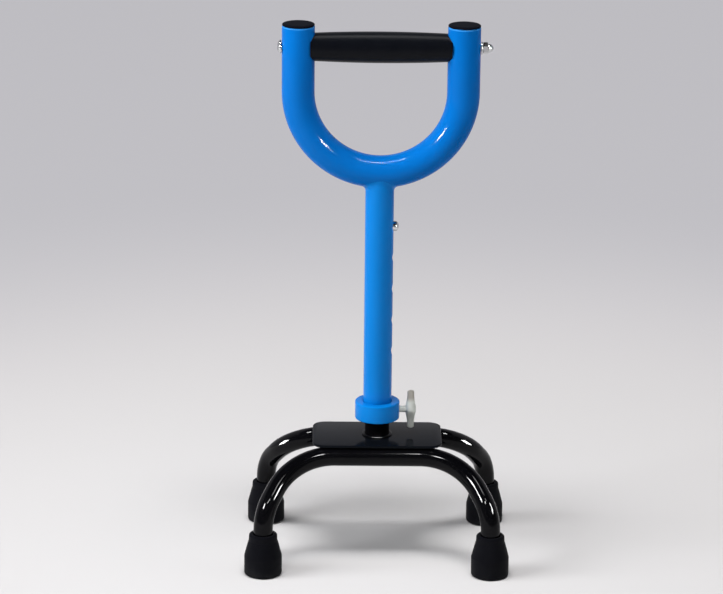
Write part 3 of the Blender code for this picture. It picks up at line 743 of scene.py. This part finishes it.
def shader(graph, colour, roughness, relief, others):
    """A Principled shader. Uniform values are set on its own sockets."""
    values = {"Base Color": colour, "Roughness": roughness, "Normal": relief, **others}
    return graph.add("ShaderNodeBsdfPrincipled", None, values)


def tinted(graph, colour, share, mask):
    """A colour that varies about itself by a share, by a mask from 0 to 1."""
    dark = (*(part * (1 - share) for part in colour), 1)
    pale = (*(min(part * (1 + share) + 0.02 * share, 1) for part in colour), 1)
    return graph.mix(mask, dark, pale)


@made_once
def enamel(graph, colour, roughness, peel, sheen, rim=None):
    """Sprayed and baked paint: faint orange peel and a few specks.

    With the height of a tube's rim, the rounded edge there gets a painted highlight: the paint turns paler
    blue where the edge catches the light.
    """
    drift = graph.noise(18.0, 2.0)
    ripple = graph.noise(420.0, 1.0)
    speck = graph.ramp(graph.noise(1500.0, 1.0), 0.70, 0.76)
    shade = tinted(graph, colour, 0.07, drift)
    # Painted highlight: the band just under the rim is mixed towards a paler blue, standing in for the light
    # that the rounded edge catches
    if rim:
        highlight_start, highlight_full = rim - 0.0014, rim - 0.0008
        rim_highlight = graph.ramp(graph.coordinate("Z"), highlight_start, highlight_full)
        shade = graph.mix(rim_highlight * 0.4, shade, PAINTED_RIM_HIGHLIGHT)
    gloss = roughness + (drift - 0.5) * 0.04 + speck * 0.10
    relief = bump(graph, ripple + speck * 0.4, peel)
    return shader(graph, shade, gloss, relief, {"Specular IOR Level": sheen})


def stem_enamel(scene):
    """The paint that the stem and the collar share: the fork's blue enamel painted paler, as painted light
    for the extra light they get from the floor.
    """
    return enamel("stem_enamel", scene.cane_finishes.stem_blue, roughness=0.07, peel=0.000008, sheen=0.08)


def black_enamel(scene):
    """The paint that the post and the leg tubes share."""
    return enamel("black_enamel", scene.cane_finishes.black, roughness=0.055, peel=0.000005, sheen=0.12)


@made_once
def moulded_plastic(graph, colour, roughness, grain, depth, sheen=0.5):
    """Moulded plastic: a fine eroded grain, and gloss that wears unevenly."""
    pits = graph.add("ShaderNodeTexVoronoi", None, {"Vector": graph.place(), "Scale": grain})
    cloud = graph.noise(60.0, 3.0)
    shade = tinted(graph, colour, 0.12, cloud)
    gloss = roughness + (cloud - 0.5) * 0.12
    relief = bump(graph, pits + graph.noise(grain * 2.2, 2.0) * 0.5, depth)
    return shader(graph, shade, gloss, relief, {"Specular IOR Level": sheen})


@made_once
def rubber(graph, colour):
    """Black rubber: matt and grainy, with a little dust low down on the skirt."""
    grain = graph.noise(2600.0, 3.0)
    cloud = graph.noise(90.0, 4.0)
    height = graph.coordinate("Z")
    dusty_to, clean_from = 0.001, 0.010
    dust = (1 - graph.ramp(height, dusty_to, clean_from)) * graph.ramp(cloud, 0.42, 0.70)
    shade = graph.mix(dust * 0.5, tinted(graph, colour, 0.16, cloud), SKIRT_DUST)
    gloss = 0.56 + (cloud - 0.5) * 0.14 + dust * 0.12
    relief = bump(graph, grain, depth=0.00003)
    return shader(graph, shade, gloss, relief, {"Specular IOR Level": 0.05})


@made_once
def cast_zinc(graph, colour):
    """Tumbled die-cast zinc: satin, mottled, and browner towards the upper tip."""
    cloud = graph.noise(260.0, 4.0)
    grain = graph.noise(3200.0, 2.0)
    brown_from, brown_full = 0.1198, 0.1245
    turn = graph.ramp(graph.coordinate("Z"), brown_from, brown_full)
    brown = (*(part * share for part, share in zip(colour, BROWN_SHARES)), 1)
    shade = graph.mix(turn, tinted(graph, colour, 0.10, cloud), brown)
    gloss = 0.50 + (cloud - 0.5) * 0.16
    relief = bump(graph, grain + cloud * 2.0, depth=0.00002)
    return shader(graph, shade, gloss, relief, {"Metallic": 0.42})


@made_once
def plated_steel(graph, colour, roughness):
    """Plated steel: bright, with faint haze and fine scratches."""
    haze = graph.noise(500.0, 3.0)
    stretched = graph.vector_math("MULTIPLY", {0: graph.place(), 1: (900.0, 6000.0, 900.0)})
    scratch = graph.noise(1.0, 2.0, stretched)
    shade = tinted(graph, colour, 0.05, haze)
    gloss = roughness + haze * 0.08 + graph.ramp(scratch, 0.60, 0.75) * 0.08
    relief = bump(graph, scratch, depth=0.000004)
    return shader(graph, shade, gloss, relief, {"Metallic": 1.0})


def bright_plating(scene):
    """The plating that the bolt, the washer, the nut and the snap button share."""
    return plated_steel("bright_plating", scene.cane_finishes.bright, roughness=0.10)


@made_once
def backdrop_paper(graph, studio):
    """Matt paper close to the cane. Further off, the camera and the gloss see an even glow instead."""
    depth = graph.coordinate("Y")
    away = graph.vector_math("LENGTH", {0: graph.place()}, 1)
    fibre = graph.noise(700.0, 3.0)
    shade = graph.mix(fibre * 0.02, (*studio.near_floor, 1), FIBRE_GREY)
    paper = shader(graph, shade, 0.9, bump(graph, fibre, depth=0.00002), {"Specular IOR Level": 0.1})
    glow = graph.mix(graph.ramp(away, 0.1, 1.05), (*studio.lit_floor, 1), (*studio.far_floor, 1))
    shown = graph.add("ShaderNodeEmission", None, {"Color": glow})
    paper_to, shown_from = 0.10, 0.75
    seen = graph.ray("Camera") * graph.ramp(away, paper_to, shown_from)
    mirrored = graph.ray("Glossy") * graph.ramp(depth, paper_to, shown_from)
    return graph.add("ShaderNodeMixShader", None, {0: (seen + mirrored) * 0.92, 1: paper, 2: shown})


# Operators


class CaneStep:
    """What the operators share."""

    bl_options = {"REGISTER", "UNDO"}


class CANE_OT_fork(CaneStep, Operator):
    """Make the fork tube, bent to a U, with its bolt holes"""

    bl_idname = "cane.fork"
    bl_label = "Fork tube"

    def execute(self, context):
        fork = context.scene.cane_fork
        grip = context.scene.cane_grip
        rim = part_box("fork_tube")[1].z
        blue = context.scene.cane_finishes.blue
        finish = enamel("blue_enamel", blue, roughness=0.07, peel=0.000008, sheen=0.048, rim=rim)
        radius = fork.diameter / 2
        stations = with_round_ends(fork_line(context.scene), radius, fork.end_radius)
        tube = tube_along("fork", stations, radius, fork.wall, fork.sides, finish)
        reach = across("fork_tube").x
        cut(tube, drill(grip.bolt_radius + THREAD_GAP, -reach, reach, middle("grip").z))
        settle(tube)
        place_piece(tube, "upper", finish, "blue_paint", "fork_tube")
        lamp_group("fork_glints", tube)
        return {"FINISHED"}


class CANE_OT_stem(CaneStep, Operator):
    """Make the stem tube: saddle-cut top, a row of adjustment holes, and the weld fillet under the fork"""

    bl_idname = "cane.stem"
    bl_label = "Stem tube"

    def execute(self, context):
        fork = context.scene.cane_fork
        finish = stem_enamel(context.scene)
        bottom = Vector((0, 0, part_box("stem_tube")[0].z))
        axis_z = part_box("fork_tube")[0].z + fork.diameter / 2
        line = with_round_ends([bottom, Vector((0, 0, axis_z))], fork.stem_radius, SAWN_EDGE, both=False)
        stem = tube_along("stem", line, fork.stem_radius, fork.stem_wall, fork.sides, finish)
        cut(stem, fork_room(context.scene))
        add_tree(
            stem,
            shared_tree("Row of holes"),
            top_hole=(fork.stem_radius, 0, middle("snap_button").z),
            count=fork.hole_count,
            pitch=fork.hole_pitch,
            radius=fork.hole_radius,
            depth=fork.stem_radius,
            material=finish,
        )
        cut(stem, screw_drill(context.scene))
        soften(stem, width=0.00022, segments=2, limit=50)
        settle(stem)
        place_piece(stem, "upper", finish, "blue_paint", "stem_tube")

        weld = settle(new_object("saddle_weld", self.saddle_fillet(fork, axis_z)), sharp=60)
        place_piece(weld, "upper", finish, "blue_paint")
        return {"FINISHED"}

    def saddle_fillet(self, fork, axis_z):
        """The dressed weld under the fork: a hollow fillet round the saddle curve, with faint ripples."""
        half = (across("fork_tube").x - fork.diameter) / 2
        tube, stem, reach = fork.diameter / 2, fork.stem_radius, fork.weld_reach
        buried, ripple_depth = 0.0005, 0.00004
        around, steps = 240, 10

        def on_fork(x, lean, depth=0.0):
            """The point of the fork's surface at x, at an angle from its underside."""
            radius = tube - depth
            outer = half + radius * math.cos(lean)
            return Vector((x, radius * math.sin(lean), axis_z + half - math.sqrt(outer * outer - x * x)))

        shape = bmesh.new()
        rings = []
        for i in range(around):
            turn = 2 * math.pi * i / around
            out = Vector((math.cos(turn), math.sin(turn), 0))
            lean = math.asin(stem * out.y / tube)
            corner = on_fork(stem * out.x, lean)
            foot = corner - Z_AXIS * reach
            spread = lean + reach / tube * out.y
            head = on_fork((stem + reach) * out.x, spread)
            ripple = ripple_depth * math.cos(turn * fork.weld_ripples)
            points = [foot - out * buried]
            for step in range(steps + 1):
                t = step / steps
                bow = foot * (1 - t) ** 2 + corner * 2 * t * (1 - t) + head * t * t
                points.append(bow + (out - Z_AXIS) * ripple * t * (1 - t) * 4)
            points.append(on_fork((stem + reach) * out.x, spread, buried))
            points.append(corner - out * buried * 2 + Z_AXIS * buried)
            rings.append([shape.verts.new(point) for point in points])
        for ring, following in zip(rings, rings[1:] + rings[:1]):
            for k, point in enumerate(ring):
                shape.faces.new((ring[k - 1], point, following[k], following[k - 1]))
        bmesh.ops.recalc_face_normals(shape, faces=shape.faces)
        return shape


class CANE_OT_collar(CaneStep, Operator):
    """Make the collar that holds the wing screw"""

    bl_idname = "cane.collar"
    bl_label = "Collar"

    def execute(self, context):
        hardware = context.scene.cane_hardware
        finish = stem_enamel(context.scene)
        low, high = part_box("collar")
        bore = context.scene.cane_fork.stem_radius + SLIDE_GAP
        radius, chamfer = hardware.collar_radius, hardware.collar_chamfer
        inner_edge, outer_edge = 0.0003, 0.0005
        outline = filleted(
            [
                (bore, low.z, inner_edge),
                (radius - chamfer, low.z, outer_edge),
                (radius, low.z + chamfer, outer_edge),
                (radius, high.z - chamfer, outer_edge),
                (radius - chamfer, high.z, outer_edge),
                (bore, high.z, inner_edge),
            ]
        )
        collar = new_object("screw_collar", turned(outline, LARGE_SIDES))
        cut(collar, screw_drill(context.scene))
        settle(collar)
        place_piece(collar, "upper", finish, "blue_paint", "collar")
        return {"FINISHED"}


class CANE_OT_end_caps(CaneStep, Operator):
    """Make the plastic plugs in the tops of the arms"""

    bl_idname = "cane.end_caps"
    bl_label = "End caps"

    def execute(self, context):
        fork = context.scene.cane_fork
        flange = context.scene.cane_grip.cap_thickness
        black = context.scene.cane_finishes.cap
        finish = moulded_plastic(
            "cap_moulding", black, roughness=0.40, grain=2400, depth=0.00001, sheen=0.004
        )
        radius = fork.diameter / 2
        plug_gap, plug_wall, lip = 0.001, 0.0016, 0.0002
        plug = radius - fork.wall - plug_gap
        hollow = plug - plug_wall
        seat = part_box("fork_tube")[1].z + SLIDE_GAP
        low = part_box("left_end_cap")[0].z
        outline = [(0, seat - flange), (hollow, seat - flange), (hollow, low), (plug, low), (plug, seat)]
        outline += filleted(
            [
                (radius - lip, seat),
                (radius - lip, seat + 0.62 * flange, 0.0007),
                (radius - 0.0030, seat + 0.90 * flange, 0.0030),
                (0, seat + flange),
            ],
            steps=6,
        )
        for name in ("left_end_cap", "right_end_cap"):
            place = Matrix.Translation((middle(name).x, 0, 0))
            cap = settle(new_object(f"{name}_plug", turned(outline, LARGE_SIDES), place))
            place_piece(cap, "upper", finish, "black_plastic", name)
        return {"FINISHED"}


class CANE_OT_grip(CaneStep, Operator):
    """Make the barrel-shaped grip, coped to fit round both arms"""

    bl_idname = "cane.grip"
    bl_label = "Grip"

    def execute(self, context):
        scene = context.scene
        grip = scene.cane_grip
        black = scene.cane_finishes.grip
        finish = moulded_plastic(
            "grip_moulding", black, roughness=0.34, grain=1800, depth=0.00001, sheen=0.09
        )
        bore = grip.sleeve_radius + SLIDE_GAP
        crown = (grip.diameter - grip.end_diameter) / 2
        half = grip.span / 2
        steps = 64
        outline = [(bore, -half)]
        for i in range(steps + 1):
            share = 2 * i / steps - 1
            outline.append((grip.diameter / 2 - crown * share**2, share * half))
        outline.append((bore, half))
        barrel = new_object("grip_barrel", turned(outline, LARGE_SIDES), along_x(middle("grip").z))
        cut(barrel, fork_room(scene))
        soften(barrel, width=0.0006, segments=3, limit=45)
        settle(barrel)
        place_piece(barrel, "upper", finish, "grip_plastic", "grip")
        lamp_group("grip_glints", barrel)
        return {"FINISHED"}


class CANE_OT_grip_fixings(CaneStep, Operator):
    """Make the domed bolt, its washer and its cap nut"""

    bl_idname = "cane.grip_fixings"
    bl_label = "Grip fixings"

    def execute(self, context):
        grip = context.scene.cane_grip
        finish = bright_plating(context.scene)
        z = middle("grip").z
        margin = 0.01
        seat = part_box("fork_tube")[0].x - SLIDE_GAP
        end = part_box("grip_bolt")[1].x
        rim, chamfer = 0.0005, 0.0005
        outline = dome(grip.head_radius, seat - rim, -(grip.head_height - rim))[::-1]
        outline += [(grip.head_radius, seat), (grip.bolt_radius, seat)]
        outline += [(grip.bolt_radius, end - chamfer), (grip.bolt_radius - chamfer, end), (0, end)]
        bolt = new_object("grip_bolt_head", turned(outline, BOLT_SIDES), along_x(z))
        floor = seat - grip.head_height + grip.key_depth
        cut(bolt, drill(grip.key_width / math.sqrt(3), seat - margin, floor, z, sides=6))
        soften(bolt, width=0.00015, segments=2, limit=35)
        settle(bolt)
        place_piece(bolt, "upper", finish, "bright_steel", "grip_bolt")

        low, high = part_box("bolt_washer")
        bore = grip.bolt_radius + THREAD_GAP
        rim = (high.z - low.z) / 2
        outline = filleted(
            [(bore, low.x, 0.0001), (rim, low.x, 0.0002), (rim, high.x, 0.0003), (bore, high.x, 0.0002)]
        )
        washer = settle(new_object("nut_washer", turned(outline, SMALL_SIDES), along_x(z)))
        place_piece(washer, "upper", finish, "bright_steel", "bolt_washer")

        low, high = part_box("cap_nut")
        flat = grip.nut_width / 2
        corner = grip.nut_width / math.sqrt(3)
        shoulder = low.x + grip.nut_hex_height
        outline = dome(flat - 0.0005, shoulder, high.x - shoulder)[::-1]
        outline += [
            (flat - 0.0004, shoulder - 0.0001),
            (corner, shoulder - 0.0007),
            (corner, low.x + 0.0004),
            (flat, low.x),
            (bore, low.x),
            (bore, end + 0.0003),
            (0, end + 0.0012),
        ]
        nut = new_object("grip_cap_nut", turned(outline, LARGE_SIDES), along_x(z))
        cut(nut, drill(corner, low.x - margin, high.x + margin, z, sides=6), "INTERSECT")
        soften(nut, width=0.00012, segments=2, limit=30)
        settle(nut)
        place_piece(nut, "upper", finish, "bright_steel", "cap_nut")
        lamp_group("fork_glints", bolt, washer, nut)
        return {"FINISHED"}


class CANE_OT_snap_button(CaneStep, Operator):
    """Make the domed snap button"""

    bl_idname = "cane.snap_button"
    bl_label = "Snap button"

    def execute(self, context):
        base = context.scene.cane_base
        radius = context.scene.cane_hardware.button_radius
        finish = bright_plating(context.scene)
        low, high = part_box("snap_button")
        rivet, rivet_height, tail, rise, spring_room = 0.0023, 0.0008, 0.0015, 0.0026, 0.0012
        back = base.post_radius - base.post_wall - spring_room
        outline = [
            (0, low.x),
            (rivet, low.x),
            (rivet, low.x + rivet_height),
            (tail, low.x + rivet_height),
            (tail, back),
            (radius, back),
        ]
        outline += dome(radius, high.x - rise, rise, steps=16)
        button = new_object("button_pin", turned(outline, SMALL_SIDES), along_x(middle("snap_button").z))
        settle(button)
        place_piece(button, "button", finish, "bright_steel", "snap_button")
        lamp_group("fork_glints", button)
        return {"FINISHED"}


class CANE_OT_wing_screw(CaneStep, Operator):
    """Make the die-cast wing screw: turned shank and hub, blended into two lens-shaped wings"""

    bl_idname = "cane.wing_screw"
    bl_label = "Wing screw"

    def execute(self, context):
        hardware = context.scene.cane_hardware
        finish = cast_zinc("cast_zinc", context.scene.cane_finishes.zinc)
        low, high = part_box("wing_screw")
        z = middle("wing_screw").z
        radius = hardware.screw_radius
        hub_length, tip, tip_length, chamfer = 0.0088, 0.0012, 0.0014, 0.0004
        hub_middle = high.x - hub_length / 2
        outline = [
            (0, low.x),
            (tip, low.x),
            (tip, low.x + tip_length),
            (radius - chamfer, low.x + tip_length),
            (radius, low.x + tip_length + chamfer),
            (radius, hub_middle),
            (0, hub_middle),
        ]
        screw = new_object("wing_screw_body", turned(outline, SMALL_SIDES), along_x(z))
        cut(screw, new_object("wings", self.wing_shape(hardware, hub_middle, z)), "UNION")
        blend = screw.modifiers.new("blend", "REMESH")
        blend.mode = "VOXEL"
        blend.voxel_size = 0.00025
        ease = screw.modifiers.new("ease", "SMOOTH")
        ease.factor = 0.5
        ease.iterations = 10
        settle(screw, sharp=180)
        place_piece(screw, "wing", finish, "zinc", "wing_screw")
        lamp_group("wing_glints", screw)
        return {"FINISHED"}

    def wing_shape(self, hardware, x, z):
        """Both wings as one blade in the XZ plane, which swells to a lens-shaped hub in the middle."""
        shape = bmesh.new()
        steps, end_gap, tip_round, tip_thin, hub_spread, hub_rise = 60, 0.0001, 0.45, 0.45, 0.42, 1.6
        span = hardware.wing_span / 2 - end_gap
        tip = tip_round * hardware.wing_tip / 2 / span
        rows = []
        for i in range(steps + 1):
            share = -1 + 2 * i / steps
            swell = math.exp(-((share / hub_spread) ** 2))
            round_off = math.sqrt(max(1 - max((abs(share) - (1 - tip)) / tip, 0) ** 2, 0.0004))
            wide = (hardware.wing_tip + (hardware.wing_root - hardware.wing_tip) * swell) / 2 * round_off
            blade = hardware.wing_thickness / 2 * (tip_thin + (1 - tip_thin) * round_off)
            thick = blade + (hardware.hub_radius - hardware.wing_thickness / 2) * swell**hub_rise
            turns = [2 * math.pi * j / BLADE_SIDES for j in range(BLADE_SIDES)]
            places = [(x + wide * math.cos(t), thick * math.sin(t), z + share * span) for t in turns]
            rows.append([shape.verts.new(place) for place in places])
        for low, high in zip(rows, rows[1:]):
            for j in range(BLADE_SIDES):
                k = (j + 1) % BLADE_SIDES
                shape.faces.new((low[j], low[k], high[k], high[j]))
        shape.faces.new(rows[0])
        shape.faces.new(rows[-1])
        bmesh.ops.recalc_face_normals(shape, faces=shape.faces)
        return shape


class CANE_OT_post(CaneStep, Operator):
    """Make the post that slides in the stem, and the weld bead round its foot"""

    bl_idname = "cane.post"
    bl_label = "Post tube"

    def execute(self, context):
        base = context.scene.cane_base
        finish = black_enamel(context.scene)
        low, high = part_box("post_tube")
        line = with_round_ends([Vector((0, 0, low.z)), Vector((0, 0, high.z))], base.post_radius, SAWN_EDGE)
        post = tube_along("post", line, base.post_radius, base.post_wall, LARGE_SIDES, finish)
        cut(post, drill(context.scene.cane_fork.hole_radius, 0, DRILL_REACH, middle("snap_button").z))
        settle(post)
        place_piece(post, "base", finish, "black_paint", "post_tube")

        around, out_share, up_share = 180, 0.45, 0.15
        reach = base.post_radius + out_share * base.foot_weld
        height = plate_top() + up_share * base.foot_weld
        turns = [2 * math.pi * i / around for i in range(around)]
        ring = [(Vector((reach * math.cos(turn), reach * math.sin(turn), height)), 1.0) for turn in turns]
        bead = bead_along(
            "foot_weld_bead", ring, base.foot_weld, base.foot_ripples, depth=0.10, finish=finish, closed=True
        )
        place_piece(bead, "base", finish, "black_paint")
        lamp_group("weld_glints", bead)
        return {"FINISHED"}


class CANE_OT_base_plate(CaneStep, Operator):
    """Make the base plate with its rounded corners and edges, and the stitch welds under it"""

    bl_idname = "cane.base_plate"
    bl_label = "Base plate"

    def execute(self, context):
        base = context.scene.cane_base
        paint = context.scene.cane_finishes.plate
        finish = enamel("plate_enamel", paint, roughness=0.15, peel=0.000006, sheen=0.045)
        size = across("base_plate")
        top = plate_top()
        low = top - base.plate_thickness
        outline = []
        reach_x = size.x / 2 - base.plate_corner
        reach_y = size.y / 2 - base.plate_corner
        for start, sx, sy in ((0, 1, 1), (90, -1, 1), (180, -1, -1), (270, 1, -1)):
            outline += arc((sx * reach_x, sy * reach_y), base.plate_corner, start, start + 90, steps=16)
        plate = new_object("base_plate_sheet", extruded(outline, low, top))
        soften(plate, width=0.0006, segments=4, limit=50)
        settle(plate)
        place_piece(plate, "base", finish, "plate_paint", "base_plate")

        nip = base.leg_spacing / 2 - base.leg_radius * math.sin(math.radians(45))
        offset, stitch, drop = 0.021, 0.021, 0.0010
        for i, (sx, sy) in enumerate(((1, 1), (1, -1), (-1, 1), (-1, -1))):
            ends = (sx * offset - stitch / 2, sx * offset + stitch / 2)
            line = [(Vector((x, sy * nip, low - drop)), 1.0) for x in ends]
            bead = bead_along(
                f"stitch_weld_{i}", line, radius=0.0022, ripples=12, depth=0.12, finish=finish
            )
            place_piece(bead, "base", finish, "plate_paint")
        return {"FINISHED"}


class CANE_OT_leg_tubes(CaneStep, Operator):
    """Make the two bent leg tubes"""

    bl_idname = "cane.leg_tubes"
    bl_label = "Leg tubes"

    def execute(self, context):
        base = context.scene.cane_base
        finish = black_enamel(context.scene)
        half = base.leg_spacing / 2
        for side, name in ((-1, "front_leg_tube"), (1, "rear_leg_tube")):
            line = leg_line(context.scene)
            stations = [(Vector((point.x, side * (point.y + half), point.z)), 1.0) for point in line]
            bent = name.replace("_tube", "_bent_tube")
            tube = settle(tube_along(bent, stations, base.leg_radius, base.leg_wall, base.leg_sides, finish))
            place_piece(tube, "base", finish, "black_paint", name)
            lamp_group(f"{name}_glints", tube)
        return {"FINISHED"}


class CANE_OT_ferrules(CaneStep, Operator):
    """Make the four rubber ferrules with their ringed treads"""

    bl_idname = "cane.ferrules"
    bl_label = "Ferrules"

    def execute(self, context):
        base = context.scene.cane_base
        finish = rubber("ferrule_rubber", context.scene.cane_finishes.rubber)
        socket = base.leg_radius + SLIDE_GAP
        top, skirt = base.ferrule_top, base.ferrule_skirt
        tread = [(0, 0)]
        width, depth, slope = 0.0020, 0.0014, 0.0003
        for inner in (0.0040, 0.0085):
            outer = inner + width
            tread += [(inner, 0), (inner + slope, depth), (outer - slope, depth), (outer, 0)]
        for foot in FEET:
            name = f"{foot}_ferrule"
            height = across(name).z
            corners = [
                (skirt - 0.0004, 0, 0.0010),
                (skirt, 0.0022, 0.0010),
                (skirt, 0.0152, 0.0030),
                (top + 0.0006, height - 0.0062, 0.0012),
                (top + 0.0002, height - 0.0056, 0.0006),
                (top, height, 0.0016),
                (socket, height, 0.0006),
                (socket, base.ferrule_floor),
                (0, base.ferrule_floor),
            ]
            outline = tread + filleted(corners, steps=5)
            place = Matrix.Translation((middle(name).x, middle(name).y, 0))
            ferrule = settle(new_object(f"{foot}_rubber_foot", turned(outline, LARGE_SIDES), place))
            place_piece(ferrule, "base", finish, "rubber", name)
        return {"FINISHED"}


class CANE_OT_inner_parts(CaneStep, Operator):
    """Give the CAD pieces inside the cane their finishes"""

    bl_idname = "cane.inner_parts"
    bl_label = "Inner parts"

    def execute(self, context):
        finishes = context.scene.cane_finishes
        steel = plated_steel("dull_plating", finishes.steel, roughness=0.30)
        nylon = moulded_plastic("nylon_moulding", finishes.nylon, roughness=0.50, grain=1500, depth=0.00002)
        for name in ("grip_sleeve", "button_spring", *(f"{foot}_foot_washer" for foot in FEET)):
            self.finish_node(name, steel)
        self.finish_node("clamp_pad", nylon)
        return {"FINISHED"}

    def finish_node(self, name, material):
        """Puts a finish in every material slot of a CAD node."""
        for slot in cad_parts[name].material_slots:
            slot.material = material


class CANE_OT_studio(CaneStep, Operator):
    """Make the floor with its curved backdrop, the lamps and the camera"""

    bl_idname = "cane.studio"
    bl_label = "Studio"

    def execute(self, context):
        studio = context.scene.cane_studio
        self.make_backdrop(studio)
        self.make_lamps(studio)
        self.make_camera(context.scene, studio)
        world = bpy.data.worlds.new("studio")
        world.use_nodes = True
        background = world.node_tree.nodes["Background"]
        background.inputs["Color"].default_value = (*studio.fill_tint, 1)
        background.inputs["Strength"].default_value = studio.fill
        world.cycles_visibility.glossy = False
        context.scene.world = world
        context.scene.view_settings.view_transform = "Standard"
        return {"FINISHED"}

    def make_backdrop(self, studio):
        """A round floor that curves up to a wall all about the cane."""
        flat, curve, top = 3.0, 1.2, 4.0
        outline = [(0, 0)] + arc((flat, curve), curve, -90, 0, steps=16) + [(flat + curve, top)]
        shape = turned(outline, SMALL_SIDES)
        bmesh.ops.reverse_faces(shape, faces=[face for face in shape.faces if face.normal.z < 0])
        floor = new_object("studio_floor", shape)
        floor.data.shade_smooth()
        floor.data.materials.append(backdrop_paper("backdrop_paper", studio))
        lamp_group(FLOOR_ONLY, floor)

    def make_lamps(self, studio):
        """Lamps that gloss doesn't show, and small ones that only the gloss of one group of pieces shows.

        A row is the name, the azimuth and elevation, the distance, the size, the power and the group lit.
        """
        lamps = (
            ("overhead_lamp", (0, 74), 1.9, (0.85, 0.32), studio.overhead, None),
            ("floor_lamp", (0, 80), 1.9, (1.1, 0.55), studio.floor_lamp, FLOOR_ONLY),
            ("left_soft_lamp", (-70, 27), 2.6, (1.6, 1.3), studio.left_soft, None),
            ("right_soft_lamp", (74, 22), 2.6, (1.2, 0.9), studio.right_soft, None),
            ("front_lamp", (-3, 44), 2.4, (0.30, 0.30), studio.front_soft, None),
            ("fork_strip", (0, 80), 1.9, (1.6, 0.12), 1.0, "fork_glints"),
            ("fork_left_box", (-57, 21), 2.2, (0.38, 0.46), 1.6, "fork_glints"),
            ("fork_right_box", (39, 21), 2.2, (0.34, 0.42), 1.6, "fork_glints"),
            ("grip_panel", (180, 82), 2.2, (1.0, 0.6), 0.048, "grip_glints"),
            ("wing_panel", (-25, 62), 2.2, (1.0, 0.5), 0.045, "wing_glints"),
            ("weld_glint", (0, 41), 2.2, (1.5, 0.34), 1.5, "weld_glints"),
            ("front_left_box", (-43, 36), 2.2, (0.36, 0.44), 1.0, FRONT_GLINTS),
            ("front_right_box", (68, 32), 2.2, (0.28, 0.70), 1.0, FRONT_GLINTS),
            ("front_low_box", (60, 24), 2.2, (0.24, 0.40), 1.0, FRONT_GLINTS),
            ("front_left_panel", (25, 56), 2.2, (0.20, 0.26), 0.18, FRONT_GLINTS),
            ("front_right_panel", (42, 68), 2.2, (0.26, 0.16), 0.16, FRONT_GLINTS),
            ("front_left_glint", (4.8, 48.5), 2.2, (0.10, 0.18), 1.0, FRONT_GLINTS),
            ("front_right_glint", (-5.5, 44.5), 2.2, (0.12, 0.18), 1.0, FRONT_GLINTS),
            ("rear_left_box", (-89, -2), 1.2, (0.28, 0.38), 1.0, REAR_GLINTS),
            ("rear_right_box", (87, 2), 1.2, (0.27, 0.38), 1.0, REAR_GLINTS),
            ("rear_left_glint", (-87, 52), 2.2, (0.20, 0.24), 0.7, REAR_GLINTS),
            ("rear_right_glint", (86, 48.5), 2.2, (0.18, 0.26), 0.7, REAR_GLINTS),
        )
        for name, (azimuth, elevation), distance, size, power, receivers in lamps:
            lamp = bpy.data.lights.new(name, "AREA")
            lamp.shape = "RECTANGLE"
            lamp.size, lamp.size_y = size
            glint = receivers not in (None, FLOOR_ONLY)
            lamp.energy = power * studio.glint * math.pi * size[0] * size[1] if glint else power
            obj = bpy.data.objects.new(name, lamp)
            bpy.context.scene.collection.objects.link(obj)
            back = self.direction(azimuth, elevation)
            obj.location = LAMP_AIM + back * distance
            obj.rotation_euler = back.to_track_quat("Z", "Y").to_euler()
            obj.visible_diffuse = not glint
            obj.visible_glossy = glint
            if receivers == FLOOR_ONLY:
                lamp.color = studio.floor_tint
            if receivers:
                obj.light_linking.receiver_collection = lamp_group(receivers)
            obj.visible_camera = False

    def direction(self, azimuth, elevation):
        """The direction at an azimuth from the front, positive to the right, and an elevation, in degrees."""
        turn, rise = math.radians(azimuth), math.radians(elevation)
        return Vector((math.sin(turn) * math.cos(rise), -math.cos(turn) * math.cos(rise), math.sin(rise)))

    def make_camera(self, scene, studio):
        camera = bpy.data.cameras.new("camera")
        camera.sensor_width = 36
        camera.lens = studio.lens
        obj = bpy.data.objects.new("camera", camera)
        scene.collection.objects.link(obj)
        back = self.direction(-math.degrees(studio.swing), math.degrees(studio.elevation))
        right = Z_AXIS.cross(back).normalized()
        up = back.cross(right)
        aim = Vector((0, 0, studio.aim_height)) - right * studio.aim_left
        facing = Matrix((right, up, back)).transposed().to_4x4() @ Matrix.Rotation(studio.roll, 4, "Z")
        obj.matrix_world = Matrix.Translation(aim + back * studio.distance) @ facing
        scene.camera = obj


STEPS = (
    CANE_OT_studio,
    CANE_OT_fork,
    CANE_OT_stem,
    CANE_OT_collar,
    CANE_OT_end_caps,
    CANE_OT_grip,
    CANE_OT_grip_fixings,
    CANE_OT_snap_button,
    CANE_OT_wing_screw,
    CANE_OT_post,
    CANE_OT_base_plate,
    CANE_OT_leg_tubes,
    CANE_OT_ferrules,
    CANE_OT_inner_parts,
)
GROUPS = {
    "cane_fork": ForkSizes,
    "cane_grip": GripSizes,
    "cane_base": BaseSizes,
    "cane_hardware": HardwareSizes,
    "cane_finishes": Finishes,
    "cane_studio": StudioSettings,
}


class CANE_PT_panel(Panel):
    """Lists the cane's sizes, finishes and pieces"""

    bl_label = "Quad cane"
    bl_idname = "CANE_PT_panel"
    bl_space_type = "VIEW_3D"
    bl_region_type = "UI"
    bl_category = "Cane"

    def draw(self, context):
        for key, group in GROUPS.items():
            box = self.layout.box()
            box.label(text=group.__doc__)
            for name in group.__annotations__:
                box.prop(getattr(context.scene, key), name)
        for step in STEPS:
            self.layout.operator(step.bl_idname)


def register():
    for item in (*GROUPS.values(), *STEPS, CANE_PT_panel):
        bpy.utils.register_class(item)
    for key, group in GROUPS.items():
        setattr(bpy.types.Scene, key, PointerProperty(type=group))


def unregister():
    for key in GROUPS:
        delattr(bpy.types.Scene, key)
    for item in reversed((*GROUPS.values(), *STEPS, CANE_PT_panel)):
        bpy.utils.unregister_class(item)


def main():
    """Registers the add-on and makes every piece in turn."""
    register()
    for step in STEPS:
        prefix, name = step.bl_idname.split(".")
        getattr(getattr(bpy.ops, prefix), name)()


if __name__ == "__main__":
    main()
